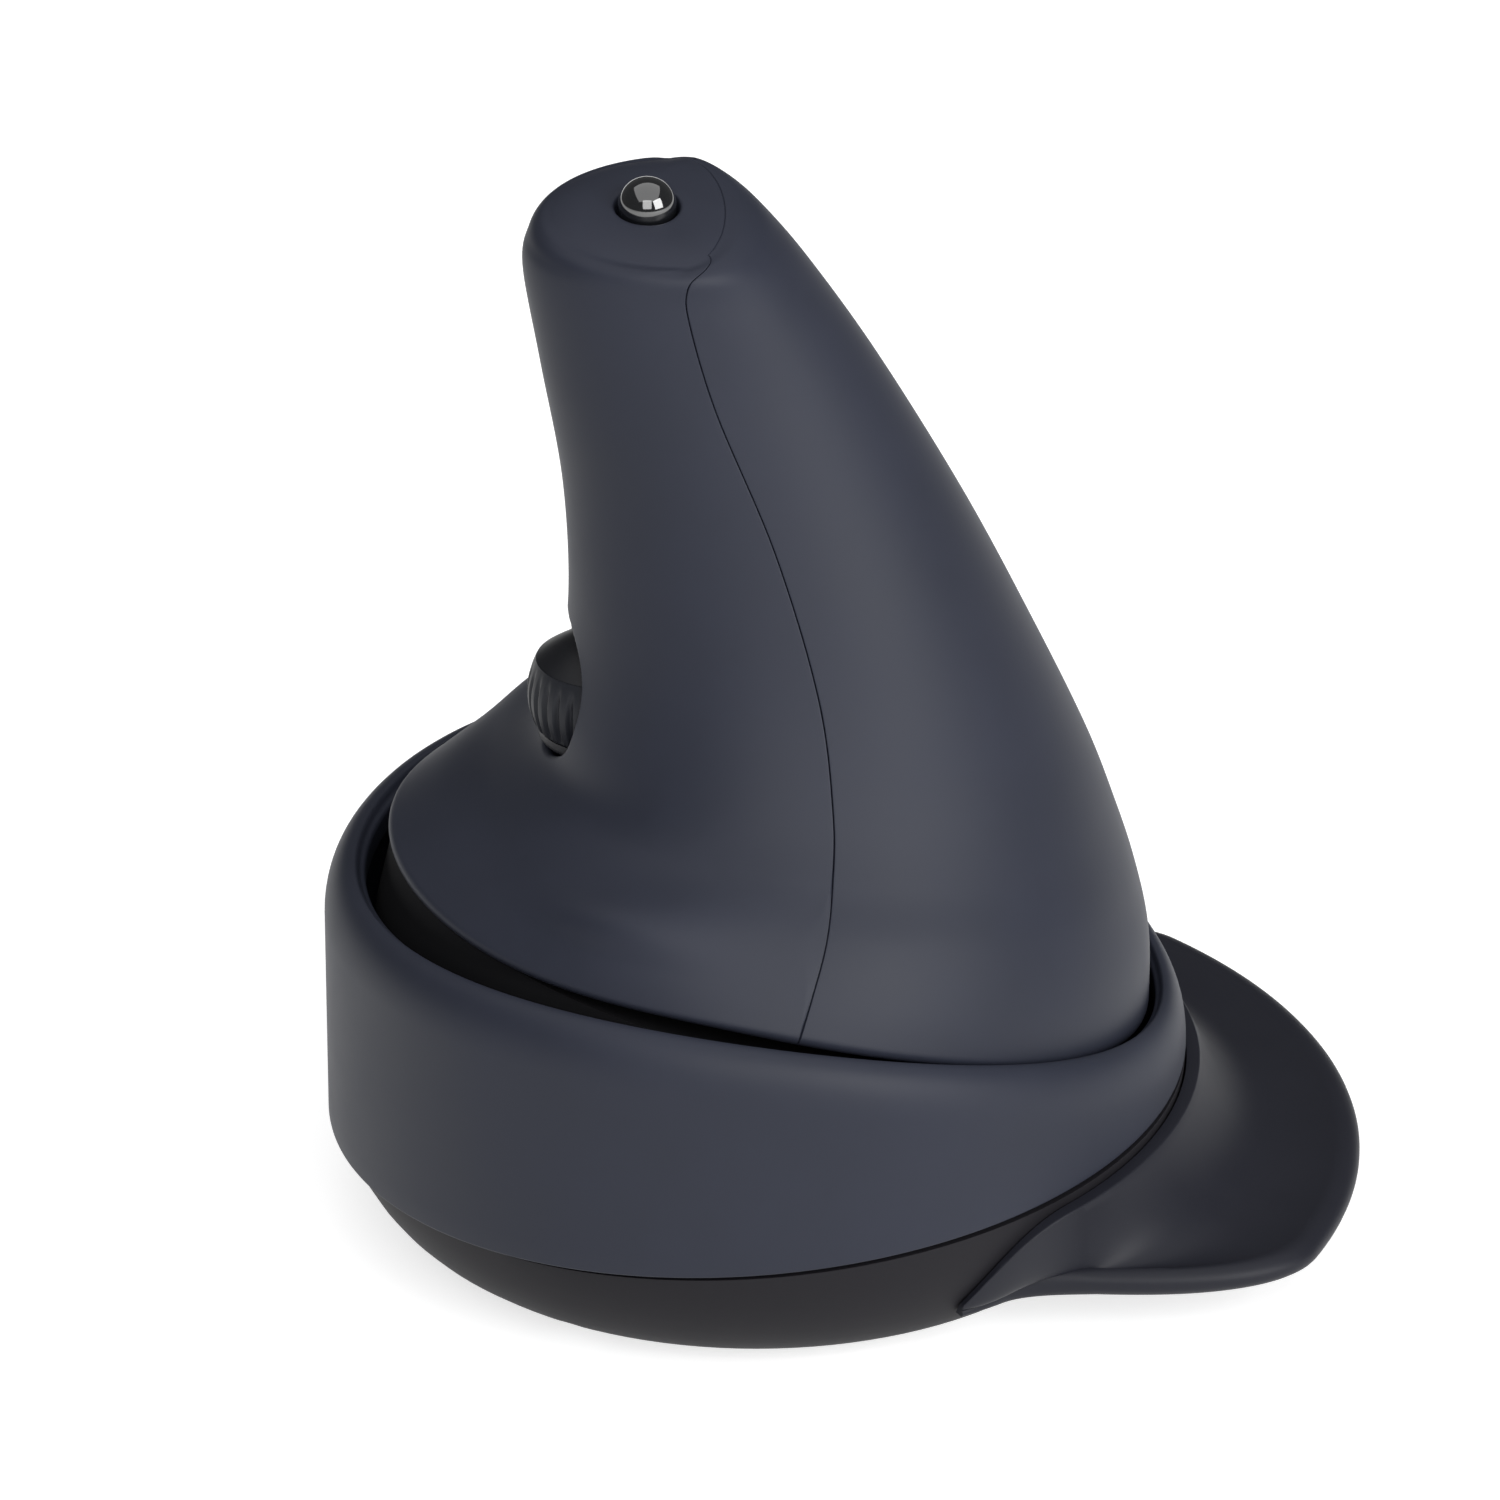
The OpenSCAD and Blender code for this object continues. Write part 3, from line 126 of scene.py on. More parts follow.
def spline(knots: np.ndarray, u: np.ndarray) -> np.ndarray:
    """Smooth curve through evenly spaced knots.

    Args:
        knots: One row for each knot.
        u: Places along the curve, from 0 to 1.

    Returns:
        Points of the curve, in the shape of u with the knot's own shape at the end.
    """
    last = len(knots) - 1
    place = np.asarray(u, float) * last
    k = np.clip(np.floor(place).astype(int), 0, last - 1)
    f = (place - k).reshape(place.shape + (1,) * (knots.ndim - 1))
    p1, p2 = knots[k], knots[k + 1]
    first, end = (k == 0).reshape(f.shape), (k == last - 1).reshape(f.shape)
    p0 = np.where(first, 2 * p1 - p2, knots[np.maximum(k - 1, 0)])
    p3 = np.where(end, 2 * p2 - p1, knots[np.minimum(k + 2, last)])
    return (2 * p1 + (p2 - p0) * f + (2 * p0 - 5 * p1 + 4 * p2 - p3) * f**2
            + (3 * p1 - p0 - 3 * p2 + p3) * f**3) / 2


def grid_faces(rows: int, cols: int, closed: bool = False) -> np.ndarray:
    """Quads of a grid of points that is numbered row by row.

    Args:
        rows: Number of rows.
        cols: Number of columns.
        closed: Whether the last column joins the first.

    Returns:
        One row of four indices for each quad, facing out when columns run anticlockwise and rows up.
    """
    i = np.arange(rows - 1)[:, None]
    j = np.arange(cols if closed else cols - 1)[None, :]
    k = (j + 1) % cols
    return np.stack([i * cols + j, i * cols + k, (i + 1) * cols + k, (i + 1) * cols + j], -1).reshape(-1, 4)


def grid_normals(points: np.ndarray) -> np.ndarray:
    """Unit normals of a grid of points.

    Args:
        points: Array of rows, columns and three coordinates.

    Returns:
        Outward normals in the same shape.
    """
    along = np.gradient(points, axis=1)
    up = np.gradient(points, axis=0)
    normal = np.cross(along, up)
    return normal / np.maximum(np.linalg.norm(normal, axis=-1, keepdims=True), 1e-9)


def run_length(points: np.ndarray, axis: int) -> np.ndarray:
    """Distance along a grid from its first line.

    Args:
        points: Array of rows, columns and three coordinates.
        axis: Axis to walk along.

    Returns:
        Distance of each point from the start of its line.
    """
    step = np.linalg.norm(np.diff(points, axis=axis), axis=-1)
    zero = np.zeros_like(np.take(step, [0], axis=axis))
    return np.concatenate([zero, np.cumsum(step, axis=axis)], axis=axis)


def make_piece(name: str, points: np.ndarray, faces: np.ndarray) -> bpy.types.Object:
    """New object from points around the base centre.

    Args:
        name: Name of the piece.
        points: Points in millimetres around the base centre.
        faces: Quads.

    Returns:
        The object, in the frame's own metres.
    """
    used, index = np.unique(faces, return_inverse=True)
    place = (points[used] + np.array([BASE_X, 0.0, 0.0])) * MM
    mesh = bpy.data.meshes.new(name)
    mesh.from_pydata(place.tolist(), [], index.reshape(faces.shape).tolist())
    mesh.validate()
    piece = bpy.data.objects.new(name, mesh)
    bpy.context.scene.collection.objects.link(piece)
    smooth(mesh, SHARP_DEG)
    return piece


def smooth(mesh: bpy.types.Mesh, sharp_deg: float) -> None:
    """Shades a mesh smooth, apart from its sharp edges.

    Args:
        mesh: The mesh.
        sharp_deg: Edges that turn more than this stay sharp.
    """
    mesh.polygons.foreach_set("use_smooth", np.ones(len(mesh.polygons), bool))
    mesh.set_sharp_from_angle(angle=math.radians(sharp_deg))
    mesh.update()


def thick_piece(name: str, outer: np.ndarray, inner: np.ndarray, faces: np.ndarray) -> bpy.types.Object:
    """Closed wall between an outer sheet and its inner copy.

    Args:
        name: Name of the piece.
        outer: Points of the outside.
        inner: Matching points of the inside.
        faces: Quads of the outside.

    Returns:
        The object.
    """
    count = len(outer)
    edges = np.concatenate([faces[:, [i, (i + 1) % 4]] for i in range(4)])
    forward = edges[:, 0].astype(np.int64) * count + edges[:, 1]
    backward = edges[:, 1].astype(np.int64) * count + edges[:, 0]
    border = edges[~np.isin(forward, backward)]
    a, b = border[:, 0], border[:, 1]
    walls = np.stack([b, a, a + count, b + count], -1)
    every = np.concatenate([faces, faces[:, ::-1] + count, walls])
    return make_piece(name, np.concatenate([outer, inner]), every)


def turned_piece(name: str, profile: np.ndarray, axis: tuple[float, float],
                 steps: int = 128) -> bpy.types.Object:
    """Solid of revolution about a vertical axis.

    Args:
        name: Name of the piece.
        profile: Radius and height of a closed outline, anticlockwise in that plane.
        axis: Place of the axis around the base centre.
        steps: Steps around.

    Returns:
        The object.
    """
    a = np.linspace(0, 2 * np.pi, steps, endpoint=False)[:, None]
    r, z = profile[None, :, 0], profile[None, :, 1]
    points = np.stack([axis[0] + r * np.cos(a), axis[1] + r * np.sin(a), z + 0 * a], -1)
    return swept_piece(name, points)


def swept_piece(name: str, points: np.ndarray, closed: bool = True) -> bpy.types.Object:
    """Solid swept around the base from one outline to the next.

    Args:
        name: Name of the piece.
        points: Array of outlines, points of an outline and three coordinates.
        closed: Whether the last outline joins the first.

    Returns:
        The object.
    """
    turns, count = points.shape[:2]
    i = np.arange(turns if closed else turns - 1)[:, None]
    j = np.arange(count)[None, :]
    k, m = (i + 1) % turns, (j + 1) % count
    quads = np.stack([i * count + j, k * count + j, k * count + m, i * count + m], -1).reshape(-1, 4)
    piece = make_piece(name, points.reshape(-1, 3), quads)
    if not closed:
        cap_ends(piece)
    tidy_mesh(piece)
    return piece


def stood_up(outline: np.ndarray, a: float) -> np.ndarray:
    """Outline stood up at one angle around the base.

    Args:
        outline: Radius and height of each point.
        a: Angle from the palm side in radians.

    Returns:
        Points around the base centre.
    """
    r, z = outline[:, 0], outline[:, 1]
    return np.stack([r * math.cos(a), r * math.sin(a), z], -1)


def cap_ends(piece: bpy.types.Object) -> None:
    """Closes the open ends of a swept piece.

    Args:
        piece: The piece.
    """
    work = bmesh.new()
    work.from_mesh(piece.data)
    bmesh.ops.holes_fill(work, edges=[e for e in work.edges if e.is_boundary], sides=0)
    work.to_mesh(piece.data)
    work.free()


def tidy_mesh(piece: bpy.types.Object) -> None:
    """Joins doubled points, turns all faces outwards and shades the piece.

    Args:
        piece: The piece.
    """
    work = bmesh.new()
    work.from_mesh(piece.data)
    bmesh.ops.remove_doubles(work, verts=work.verts, dist=MERGE_M)
    bmesh.ops.recalc_face_normals(work, faces=work.faces)
    work.to_mesh(piece.data)
    work.free()
    smooth(piece.data, SHARP_DEG)


def linear(hex_colour: str) -> tuple[float, float, float, float]:
    """Linear colour of an sRGB hex value.

    Args:
        hex_colour: Six hex digits after a hash.

    Returns:
        Red, green, blue and an alpha of 1.
    """
    parts = [int(hex_colour[i:i + 2], 16) / 255 for i in (1, 3, 5)]
    red, green, blue = (c / 12.92 if c <= 0.04045 else ((c + 0.055) / 1.055) ** 2.4 for c in parts)
    return red, green, blue, 1.0


def add_node(tree: bpy.types.NodeTree, kind: str, inputs: dict[Any, Any] | None = None,
             **settings: Any) -> bpy.types.Node:
    """Adds a node with its settings and links.

    Args:
        tree: Node tree to add to.
        kind: Node type.
        inputs: Value or source socket for each input, by name or number.
        settings: Attributes of the node.

    Returns:
        The node.
    """
    node = tree.nodes.new(kind)
    for key, value in settings.items():
        setattr(node, key, value)
    for key, value in (inputs or {}).items():
        if isinstance(value, bpy.types.NodeSocket):
            tree.links.new(value, node.inputs[key])
        else:
            node.inputs[key].default_value = value
    return node


@dataclass(frozen=True)
class MouldedFinish:
    """A moulded polymer with fine grain, uneven tone and a little dust.

    Attributes:
        name: Common name of the material and how it was made.
        colour: Main colour.
        worn: Colour where handling has polished or dulled it.
        roughness: Roughness of the clean surface.
        ior: Refractive index of the polymer or its coating.
        grain_mm: Size of the moulded grain.
        grain_depth_mm: Depth of that grain.
        cloud_mm: Size of the soft patches of uneven tone.
        dust_share: Share of the dust cells that hold a speck.
        coat: Weight of a clear gloss layer.
        gloss: Strength of the plain reflection, 0.5 is a clean smooth polymer.
    """

    name: str
    colour: str
    worn: str
    roughness: float
    ior: float = 1.5
    # Real grain is too fine to show, so it is drawn as coarse as it needs to show
    grain_mm: float = 0.5
    grain_depth_mm: float = 0.004
    cloud_mm: float = 18.0
    dust_share: float = 0.0
    coat: float = 0.0
    gloss: float = 0.5

    # Stretches of the noise that the patches of tone and of roughness take up
    TONE_RANGE = (0.35, 0.7)
    ROUGH_RANGE = (0.3, 0.7)
    ROUGH_SPREAD = 0.03
    COAT_ROUGHNESS = 0.05
    # Lint: one speck at most in each cell, paler towards its core
    LINT = "#9a9a98"
    LINT_CELL_MM = 5.0
    LINT_SPECK_MM = 0.11
    LINT_CORE = 0.4
    LINT_COVER = 0.55

    def material(self) -> bpy.types.Material:
        """Builds the node material.

        Returns:
            The material.
        """
        mat = bpy.data.materials.new(self.name)
        mat.use_nodes = True
        tree = mat.node_tree
        tree.nodes.clear()
        here = add_node(tree, "ShaderNodeTexCoord").outputs["Object"]
        cloud = add_node(tree, "ShaderNodeTexNoise", {
            "Vector": here, "Scale": 1 / (self.cloud_mm * MM), "Detail": 4.0, "Roughness": 0.6})
        tone = add_node(tree, "ShaderNodeMapRange", {
            "Value": cloud.outputs["Fac"], "From Min": self.TONE_RANGE[0], "From Max": self.TONE_RANGE[1]})
        colour = add_node(tree, "ShaderNodeMix", {
            "Factor": tone.outputs["Result"], 6: linear(self.colour), 7: linear(self.worn)},
            data_type="RGBA").outputs[2]
        if self.dust_share > 0:
            colour = self.dusted(tree, here, colour)
        rough = add_node(tree, "ShaderNodeMapRange", {
            "Value": cloud.outputs["Fac"], "From Min": self.ROUGH_RANGE[0], "From Max": self.ROUGH_RANGE[1],
            "To Min": self.roughness - self.ROUGH_SPREAD, "To Max": self.roughness + self.ROUGH_SPREAD})
        grain = add_node(tree, "ShaderNodeTexNoise", {
            "Vector": here, "Scale": 1 / (self.grain_mm * MM), "Detail": 2.0})
        bump = add_node(tree, "ShaderNodeBump", {
            "Height": grain.outputs["Fac"], "Strength": 1.0, "Distance": self.grain_depth_mm * MM})
        shader = add_node(tree, "ShaderNodeBsdfPrincipled", {
            "Base Color": colour, "Roughness": rough.outputs["Result"], "IOR": self.ior,
            "Specular IOR Level": self.gloss, "Normal": bump.outputs["Normal"],
            "Coat Weight": self.coat, "Coat Roughness": self.COAT_ROUGHNESS})
        add_node(tree, "ShaderNodeOutputMaterial", {"Surface": shader.outputs["BSDF"]})
        return mat

    def dusted(self, tree: bpy.types.NodeTree, here: bpy.types.NodeSocket,
               colour: bpy.types.NodeSocket) -> bpy.types.NodeSocket:
        """Lays sparse pale specks of lint over a colour.

        Args:
            tree: Node tree to add to.
            here: Texture coordinates.
            colour: Colour under the dust.

        Returns:
            The dusted colour.
        """
        speck_share = self.LINT_SPECK_MM / self.LINT_CELL_MM
        cells = add_node(tree, "ShaderNodeTexVoronoi", {
            "Vector": here, "Scale": 1 / (self.LINT_CELL_MM * MM)})
        picked = add_node(tree, "ShaderNodeMath", {
            0: add_node(tree, "ShaderNodeSeparateColor", {"Color": cells.outputs["Color"]}).outputs["Red"],
            1: self.dust_share}, operation="LESS_THAN")
        speck = add_node(tree, "ShaderNodeMapRange", {
            "Value": cells.outputs["Distance"], "From Min": speck_share,
            "From Max": self.LINT_CORE * speck_share, "To Max": self.LINT_COVER})
        mask = add_node(tree, "ShaderNodeMath", {
            0: picked.outputs[0], 1: speck.outputs["Result"]}, operation="MULTIPLY")
        return add_node(tree, "ShaderNodeMix", {
            "Factor": mask.outputs[0], 6: colour, 7: linear(self.LINT)}, data_type="RGBA").outputs[2]


@dataclass(frozen=True)
class MetalFinish:
    """A bare or plated metal with fine drawn or turned lines.

    Attributes:
        name: Common name of the metal and its surface.
        colour: Colour of the reflection.
        roughness: Mean roughness.
        line_mm: Spacing of the tool lines.
        spread: How far the roughness strays from its mean.
    """

    name: str
    colour: str
    roughness: float
    # Real tool lines are too fine to show, so these are drawn as coarse as they need to show
    line_mm: float = 0.2
    spread: float = 0.08

    def material(self) -> bpy.types.Material:
        """Builds the node material.

        Returns:
            The material.
        """
        mat = bpy.data.materials.new(self.name)
        mat.use_nodes = True
        tree = mat.node_tree
        tree.nodes.clear()
        here = add_node(tree, "ShaderNodeTexCoord").outputs["Object"]
        lines = add_node(tree, "ShaderNodeTexNoise", {
            "Vector": here, "Scale": 1 / (self.line_mm * MM), "Detail": 3.0})
        rough = add_node(tree, "ShaderNodeMapRange", {
            "Value": lines.outputs["Fac"],
            "To Min": self.roughness - self.spread, "To Max": self.roughness + self.spread})
        shader = add_node(tree, "ShaderNodeBsdfPrincipled", {
            "Base Color": linear(self.colour), "Metallic": 1.0, "Roughness": rough.outputs["Result"]})
        add_node(tree, "ShaderNodeOutputMaterial", {"Surface": shader.outputs["BSDF"]})
        return mat


@dataclass(frozen=True)
class ClearFinish:
    """A clear moulded polymer, such as a lens.

    Attributes:
        name: Common name of the material.
        colour: Tint of what passes through.
        ior: Refractive index.
        clearness: Share of the light that passes through.
        roughness: Roughness of the moulded faces.
    """

    name: str
    colour: str
    ior: float = 1.49
    clearness: float = 0.9
    roughness: float = 0.08

    def material(self) -> bpy.types.Material:
        """Builds the node material.

        Returns:
            The material.
        """
        mat = bpy.data.materials.new(self.name)
        mat.use_nodes = True
        shader = mat.node_tree.nodes["Principled BSDF"]
        shader.inputs["Base Color"].default_value = linear(self.colour)
        shader.inputs["Transmission Weight"].default_value = self.clearness
        shader.inputs["IOR"].default_value = self.ior
        shader.inputs["Roughness"].default_value = self.roughness
        return mat


# Rubbery polyurethane lacquer over moulded ABS: deep matte charcoal, a little blue in the light
SOFT_TOUCH = MouldedFinish("soft_touch_lacquer", "#272a35", "#2a2d39", 0.52, grain_mm=0.35,
                           grain_depth_mm=0.003, dust_share=0.10, gloss=0.26)
FINISHES: dict[str, MouldedFinish | MetalFinish | ClearFinish] = {
    "shell_front": SOFT_TOUCH,
    "shell_rear": SOFT_TOUCH,
    "ring": SOFT_TOUCH,
    # The same lacquer on the wing, painted a shade darker as painted shade for its upturned top
    "rest": MouldedFinish("soft_touch_lacquer_painted_shade", "#1b1c24", "#1e1f27", 0.5, grain_mm=0.35,
                          grain_depth_mm=0.003, dust_share=0.14, gloss=0.26),
    # Bare moulded ABS with a fine spark-eroded grain: browner and flatter than the lacquer
    "tray": MouldedFinish("spark_grain_abs", "#1d1c20", "#201f23", 0.6, grain_mm=0.25, grain_depth_mm=0.006,
                          gloss=0.16),
    # Thermoplastic rubber, moulded: dark with broad dull highlights on the ribs
    "tyre": MouldedFinish("moulded_rubber", "#1a1c22", "#1e2026", 0.46, grain_mm=0.3, grain_depth_mm=0.004,
                          gloss=0.3),
    # Satin moulded ABS on the hub and its dome
    "hub": MouldedFinish("satin_abs", "#121318", "#15161b", 0.42, gloss=0.3),
    # Polished black polycarbonate: mirror-like dome
    "button": MouldedFinish("polished_polycarbonate", "#101113", "#121315", 0.07, ior=1.58,
                            grain_depth_mm=0.0005, coat=1.0, gloss=1.0),
    # Glass-filled nylon, moulded: black of its own, made dead flat and darker still as painted shade in the
    # gap under the handle
    "frame": MouldedFinish("filled_nylon_painted_shade", "#161618", "#19191b", 0.8, gloss=0.1),
    # Polytetrafluoroethylene sheet, skived: waxy white
    "glide": MouldedFinish("skived_ptfe", "#d6d5d0", "#cfcec8", 0.38, ior=1.35),
    # Epoxy laminate under a rolled solder lacquer: glossy bottle green
    "board": MouldedFinish("lacquered_laminate", "#1d5934", "#20633a", 0.3, coat=0.2),
    # Filled epoxy and polyester housings, moulded: dull black, and a clear blue on the encoder
    "chip": MouldedFinish("moulded_epoxy", "#19191b", "#1d1d1f", 0.5),
    "encoder": MouldedFinish("moulded_polyester", "#2a5a8a", "#2d5f90", 0.42),
    # Tinted epoxy of the sensor lamp, cast: glassy red
    "led": MouldedFinish("tinted_epoxy", "#c03a2a", "#c8432f", 0.12, coat=0.4),
    # Natural acetal, moulded: ivory with a waxy shine
    "plunger": MouldedFinish("natural_acetal", "#e6e1d3", "#dfd9ca", 0.32),
    # Pale grey ABS, moulded: easy to find against the black tray
    "knob": MouldedFinish("grey_abs", "#b4b4b8", "#adadb1", 0.36),
    # Shrunk sleeve over a drawn steel can: plain glossy brass yellow
    "cell": MouldedFinish("plain_cell_sleeve", "#8f7f3c", "#94843f", 0.3, coat=0.3),
    # Clear acrylic, moulded: bright edges around a dark pocket
    "lens": ClearFinish("moulded_acrylic", "#eaf3f5"),
    # Nickel on pressed strip: warm white and softly bright
    "contact": MetalFinish("nickel_plate", "#c8c4bb", 0.28),
    # Drawn steel rod and wire: cool and bright
    "steel": MetalFinish("bright_steel", "#b9babd", 0.24),
    # Pressed and sintered bronze: dull gold
    "bush": MetalFinish("sintered_bronze", "#a9793f", 0.42),
    # Zinc on rolled screws: bluish grey satin
    "screw": MetalFinish("zinc_plate", "#a5a7ab", 0.32),
}


class Wardrobe:
    """Makes each finish once and dresses pieces with it."""

    def __init__(self) -> None:
        """Starts with no material made."""
        self.made: dict[str, bpy.types.Material] = {}

    def dress(self, piece: bpy.types.Object, slot: str) -> None:
        """Gives a piece the finish of a material slot.

        Args:
            piece: The piece.
            slot: Material slot of the record.
        """
        finish = FINISHES[slot]
        if finish.name not in self.made:
            self.made[finish.name] = finish.material()
        piece.data.materials.clear()
        piece.data.materials.append(self.made[finish.name])

    def place(self, piece: bpy.types.Object, slot: str, body: Body | str, *nodes: str) -> None:
        """Dresses a piece, lets it ride and puts it in the place of nodes.

        Args:
            piece: The piece.
            slot: Material slot of the record.
            body: Body that it rides on.
            nodes: Nodes of the frame that it stands for.
        """
        self.dress(piece, slot)
        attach(piece, body.value if isinstance(body, Body) else body)
        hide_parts(*nodes)
        LOG.info("%s rides on %s for %s", piece.name, body, ", ".join(nodes))


@dataclass(frozen=True)
class WheelWindow:
    """Opening of the handle around the thumb wheel, a ball about the wheel's middle.

    Attributes:
        axis_x: Place of the wheel axis.
        mid_z: Height of the middle of the window.
        half_h: Half height of the ball.
        mid_r: Radius of the ball in the middle.
    """

    axis_x: float
    mid_z: float
    half_h: float = 9.2
    mid_r: float = 8.9

    def share(self, points: np.ndarray) -> np.ndarray:
        """Distance of points from the middle as a share of the ball's own, 1 on its wall."""
        reach = np.hypot(points[..., 0] - self.axis_x, points[..., 1]) / self.mid_r
        return np.hypot(reach, (points[..., 2] - self.mid_z) / self.half_h)

    def outside(self, points: np.ndarray) -> np.ndarray:
        """How far points lie outside the ball, negative inside."""
        return (self.share(points) - 1) * self.mid_r

    def push_out(self, points: np.ndarray) -> np.ndarray:
        """Moves points that lie inside the ball to its wall.

        Args:
            points: Points around the base centre.

        Returns:
            The points, none inside.
        """
        middle = np.array([self.axis_x, 0.0, self.mid_z])
        smallest = 1e-3
        grow = 1 / np.clip(self.share(points), smallest, 1.0)
        return middle + (points - middle) * grow[..., None]


@dataclass(frozen=True)
class HandleForm:
    """Outer surface of the handle, from the skirt edge up to the facet edge.

    Attributes:
        top_z: Height of the top facet.
        thumb_z: Height of the skirt edge on the thumb side.
        palm_z: Height of the skirt edge on the palm side.
        lift: Rise of the skirt edge beside the user.
        thumb_fade: How fast that rise fades towards the thumb side.
        palm_fade: How fast it fades towards the palm side.
        nod: Slope of the top facet towards the user.
        joint_turn: Angle by which the joint of the shells closes in below the facet.
        joint_start: Place up the handle where that begins.
        thumb_line: Thumb outline as distance and share of the way up.
        palm_line: Palm outline in the same way.
        seam_line: Distance of the joint between the shells.
        width_line: Half width.
        lift_line: Share of the skirt lift that is left.
        nose_line: Bluntness of the thumb side, 1 is a plain ellipse.
    """

    top_z: float
    thumb_z: float = 42.8
    palm_z: float = 22.5
    lift: float = 4.4
    thumb_fade: float = 5.0
    palm_fade: float = 2.0
    nod: float = 0.19
    joint_turn: float = 32.0
    joint_start: float = 0.8
    thumb_line: tuple[tuple[float, float], ...] = (
        (-37.2, 0), (-32.1, 0.034), (-26.2, 0.071), (-21, 0.137), (-20, 0.225), (-18.7, 0.372),
        (-19.2, 0.564), (-21.3, 0.756), (-22.9, 0.904), (-22.4, 0.957), (-21.5, 0.985), (-20.2, 1))
    palm_line: tuple[tuple[float, float], ...] = (
        (39.7, 0), (39.6, 0.085), (38.3, 0.159), (36.3, 0.233), (33.4, 0.324), (28.2, 0.455),
        (20.9, 0.625), (12.2, 0.801), (5.4, 0.918), (1.6, 0.968), (-1, 0.99), (-3.2, 1))
    seam_line: tuple[float, ...] = (1, 2.5, 4.2, 5.1, 5.5, 4.5, 0.6, -5, -7.6, -7.6, -7.7, -7.7)
    width_line: tuple[float, ...] = (38.5, 36.2, 32.9, 29, 25, 20.2, 15.8, 12.6, 11.4, 11.4, 10.6, 9.8)
    lift_line: tuple[float, ...] = (1, 0.7, 0.67, 0.355, 0.11, 0, 0, 0, 0, 0, 0, 0)
    nose_line: tuple[float, ...] = (1, 0.74, 0.45, 0.85, 1, 1, 1, 1, 1, 1, 1, 1)

    # Stretches up the handle: where the inside drops below the facet and the ledge, and where the nod begins
    CROWN_START, CROWN_SPAN = 0.72, 0.2
    LEDGE_SHARE, LEDGE_SPAN = 0.8, 0.09
    LEDGE_END, LEDGE_FADE = 0.3, 0.15
    NOD_START = 0.6

    def joint(self, u: np.ndarray | float) -> np.ndarray:
        """Angles in degrees from the palm side to the joint of the shells, at places up the handle."""
        way = (np.asarray(u, float) - self.joint_start) / (1 - self.joint_start)
        return 90 - self.joint_turn * soft(way)

    def point(self, u: np.ndarray, a: np.ndarray, depth: float = 0.0) -> np.ndarray:
        """Points of the surface.

        Args:
            u: Places up the handle, from 0 to 1.
            a: Angles around it in degrees, 0 on the palm side and 180 on the thumb side.
            depth: Depth below the outside.

        Returns:
            Points around the base centre.
        """
        u, a = np.broadcast_arrays(np.asarray(u, float), np.radians(np.asarray(a, float)))
        thumb = spline(np.array(self.thumb_line, float), u)
        palm = spline(np.array(self.palm_line, float), u)
        seam, width, lift, nose = (spline(np.array(line, float), u) for line in (
            self.seam_line, self.width_line, self.lift_line, self.nose_line))
        ledge = soft(u / self.LEDGE_SPAN) * (1 - soft((u - self.LEDGE_END) / self.LEDGE_FADE))
        down = depth * (soft((u - self.CROWN_START) / self.CROWN_SPAN) + self.LEDGE_SHARE * ledge)
        thumb_z = self.thumb_z + thumb[..., 1] * (self.top_z - self.thumb_z) - down
        palm_z = self.palm_z + palm[..., 1] * (self.top_z - self.palm_z) - down
        seam_z = thumb_z + (palm_z - thumb_z) * (seam - thumb[..., 0]) / (palm[..., 0] - thumb[..., 0])
        c, s = np.cos(a), np.sin(a)
        on_thumb = c < 0
        reach = np.where(on_thumb, np.abs(c) ** nose, np.abs(c))
        rise = self.lift * lift * np.abs(s) ** np.where(on_thumb, self.thumb_fade, self.palm_fade)
        end_x = np.where(on_thumb, thumb[..., 0] + depth, palm[..., 0] - depth)
        end_z = np.where(on_thumb, thumb_z, palm_z)
        y = (width - depth) * s
        lean = self.nod * y * soft((u - self.NOD_START) / (1 - self.NOD_START))
        z = seam_z + (end_z - seam_z) * reach + rise + lean
        return np.stack([seam + (end_x - seam) * reach, y, z], -1)


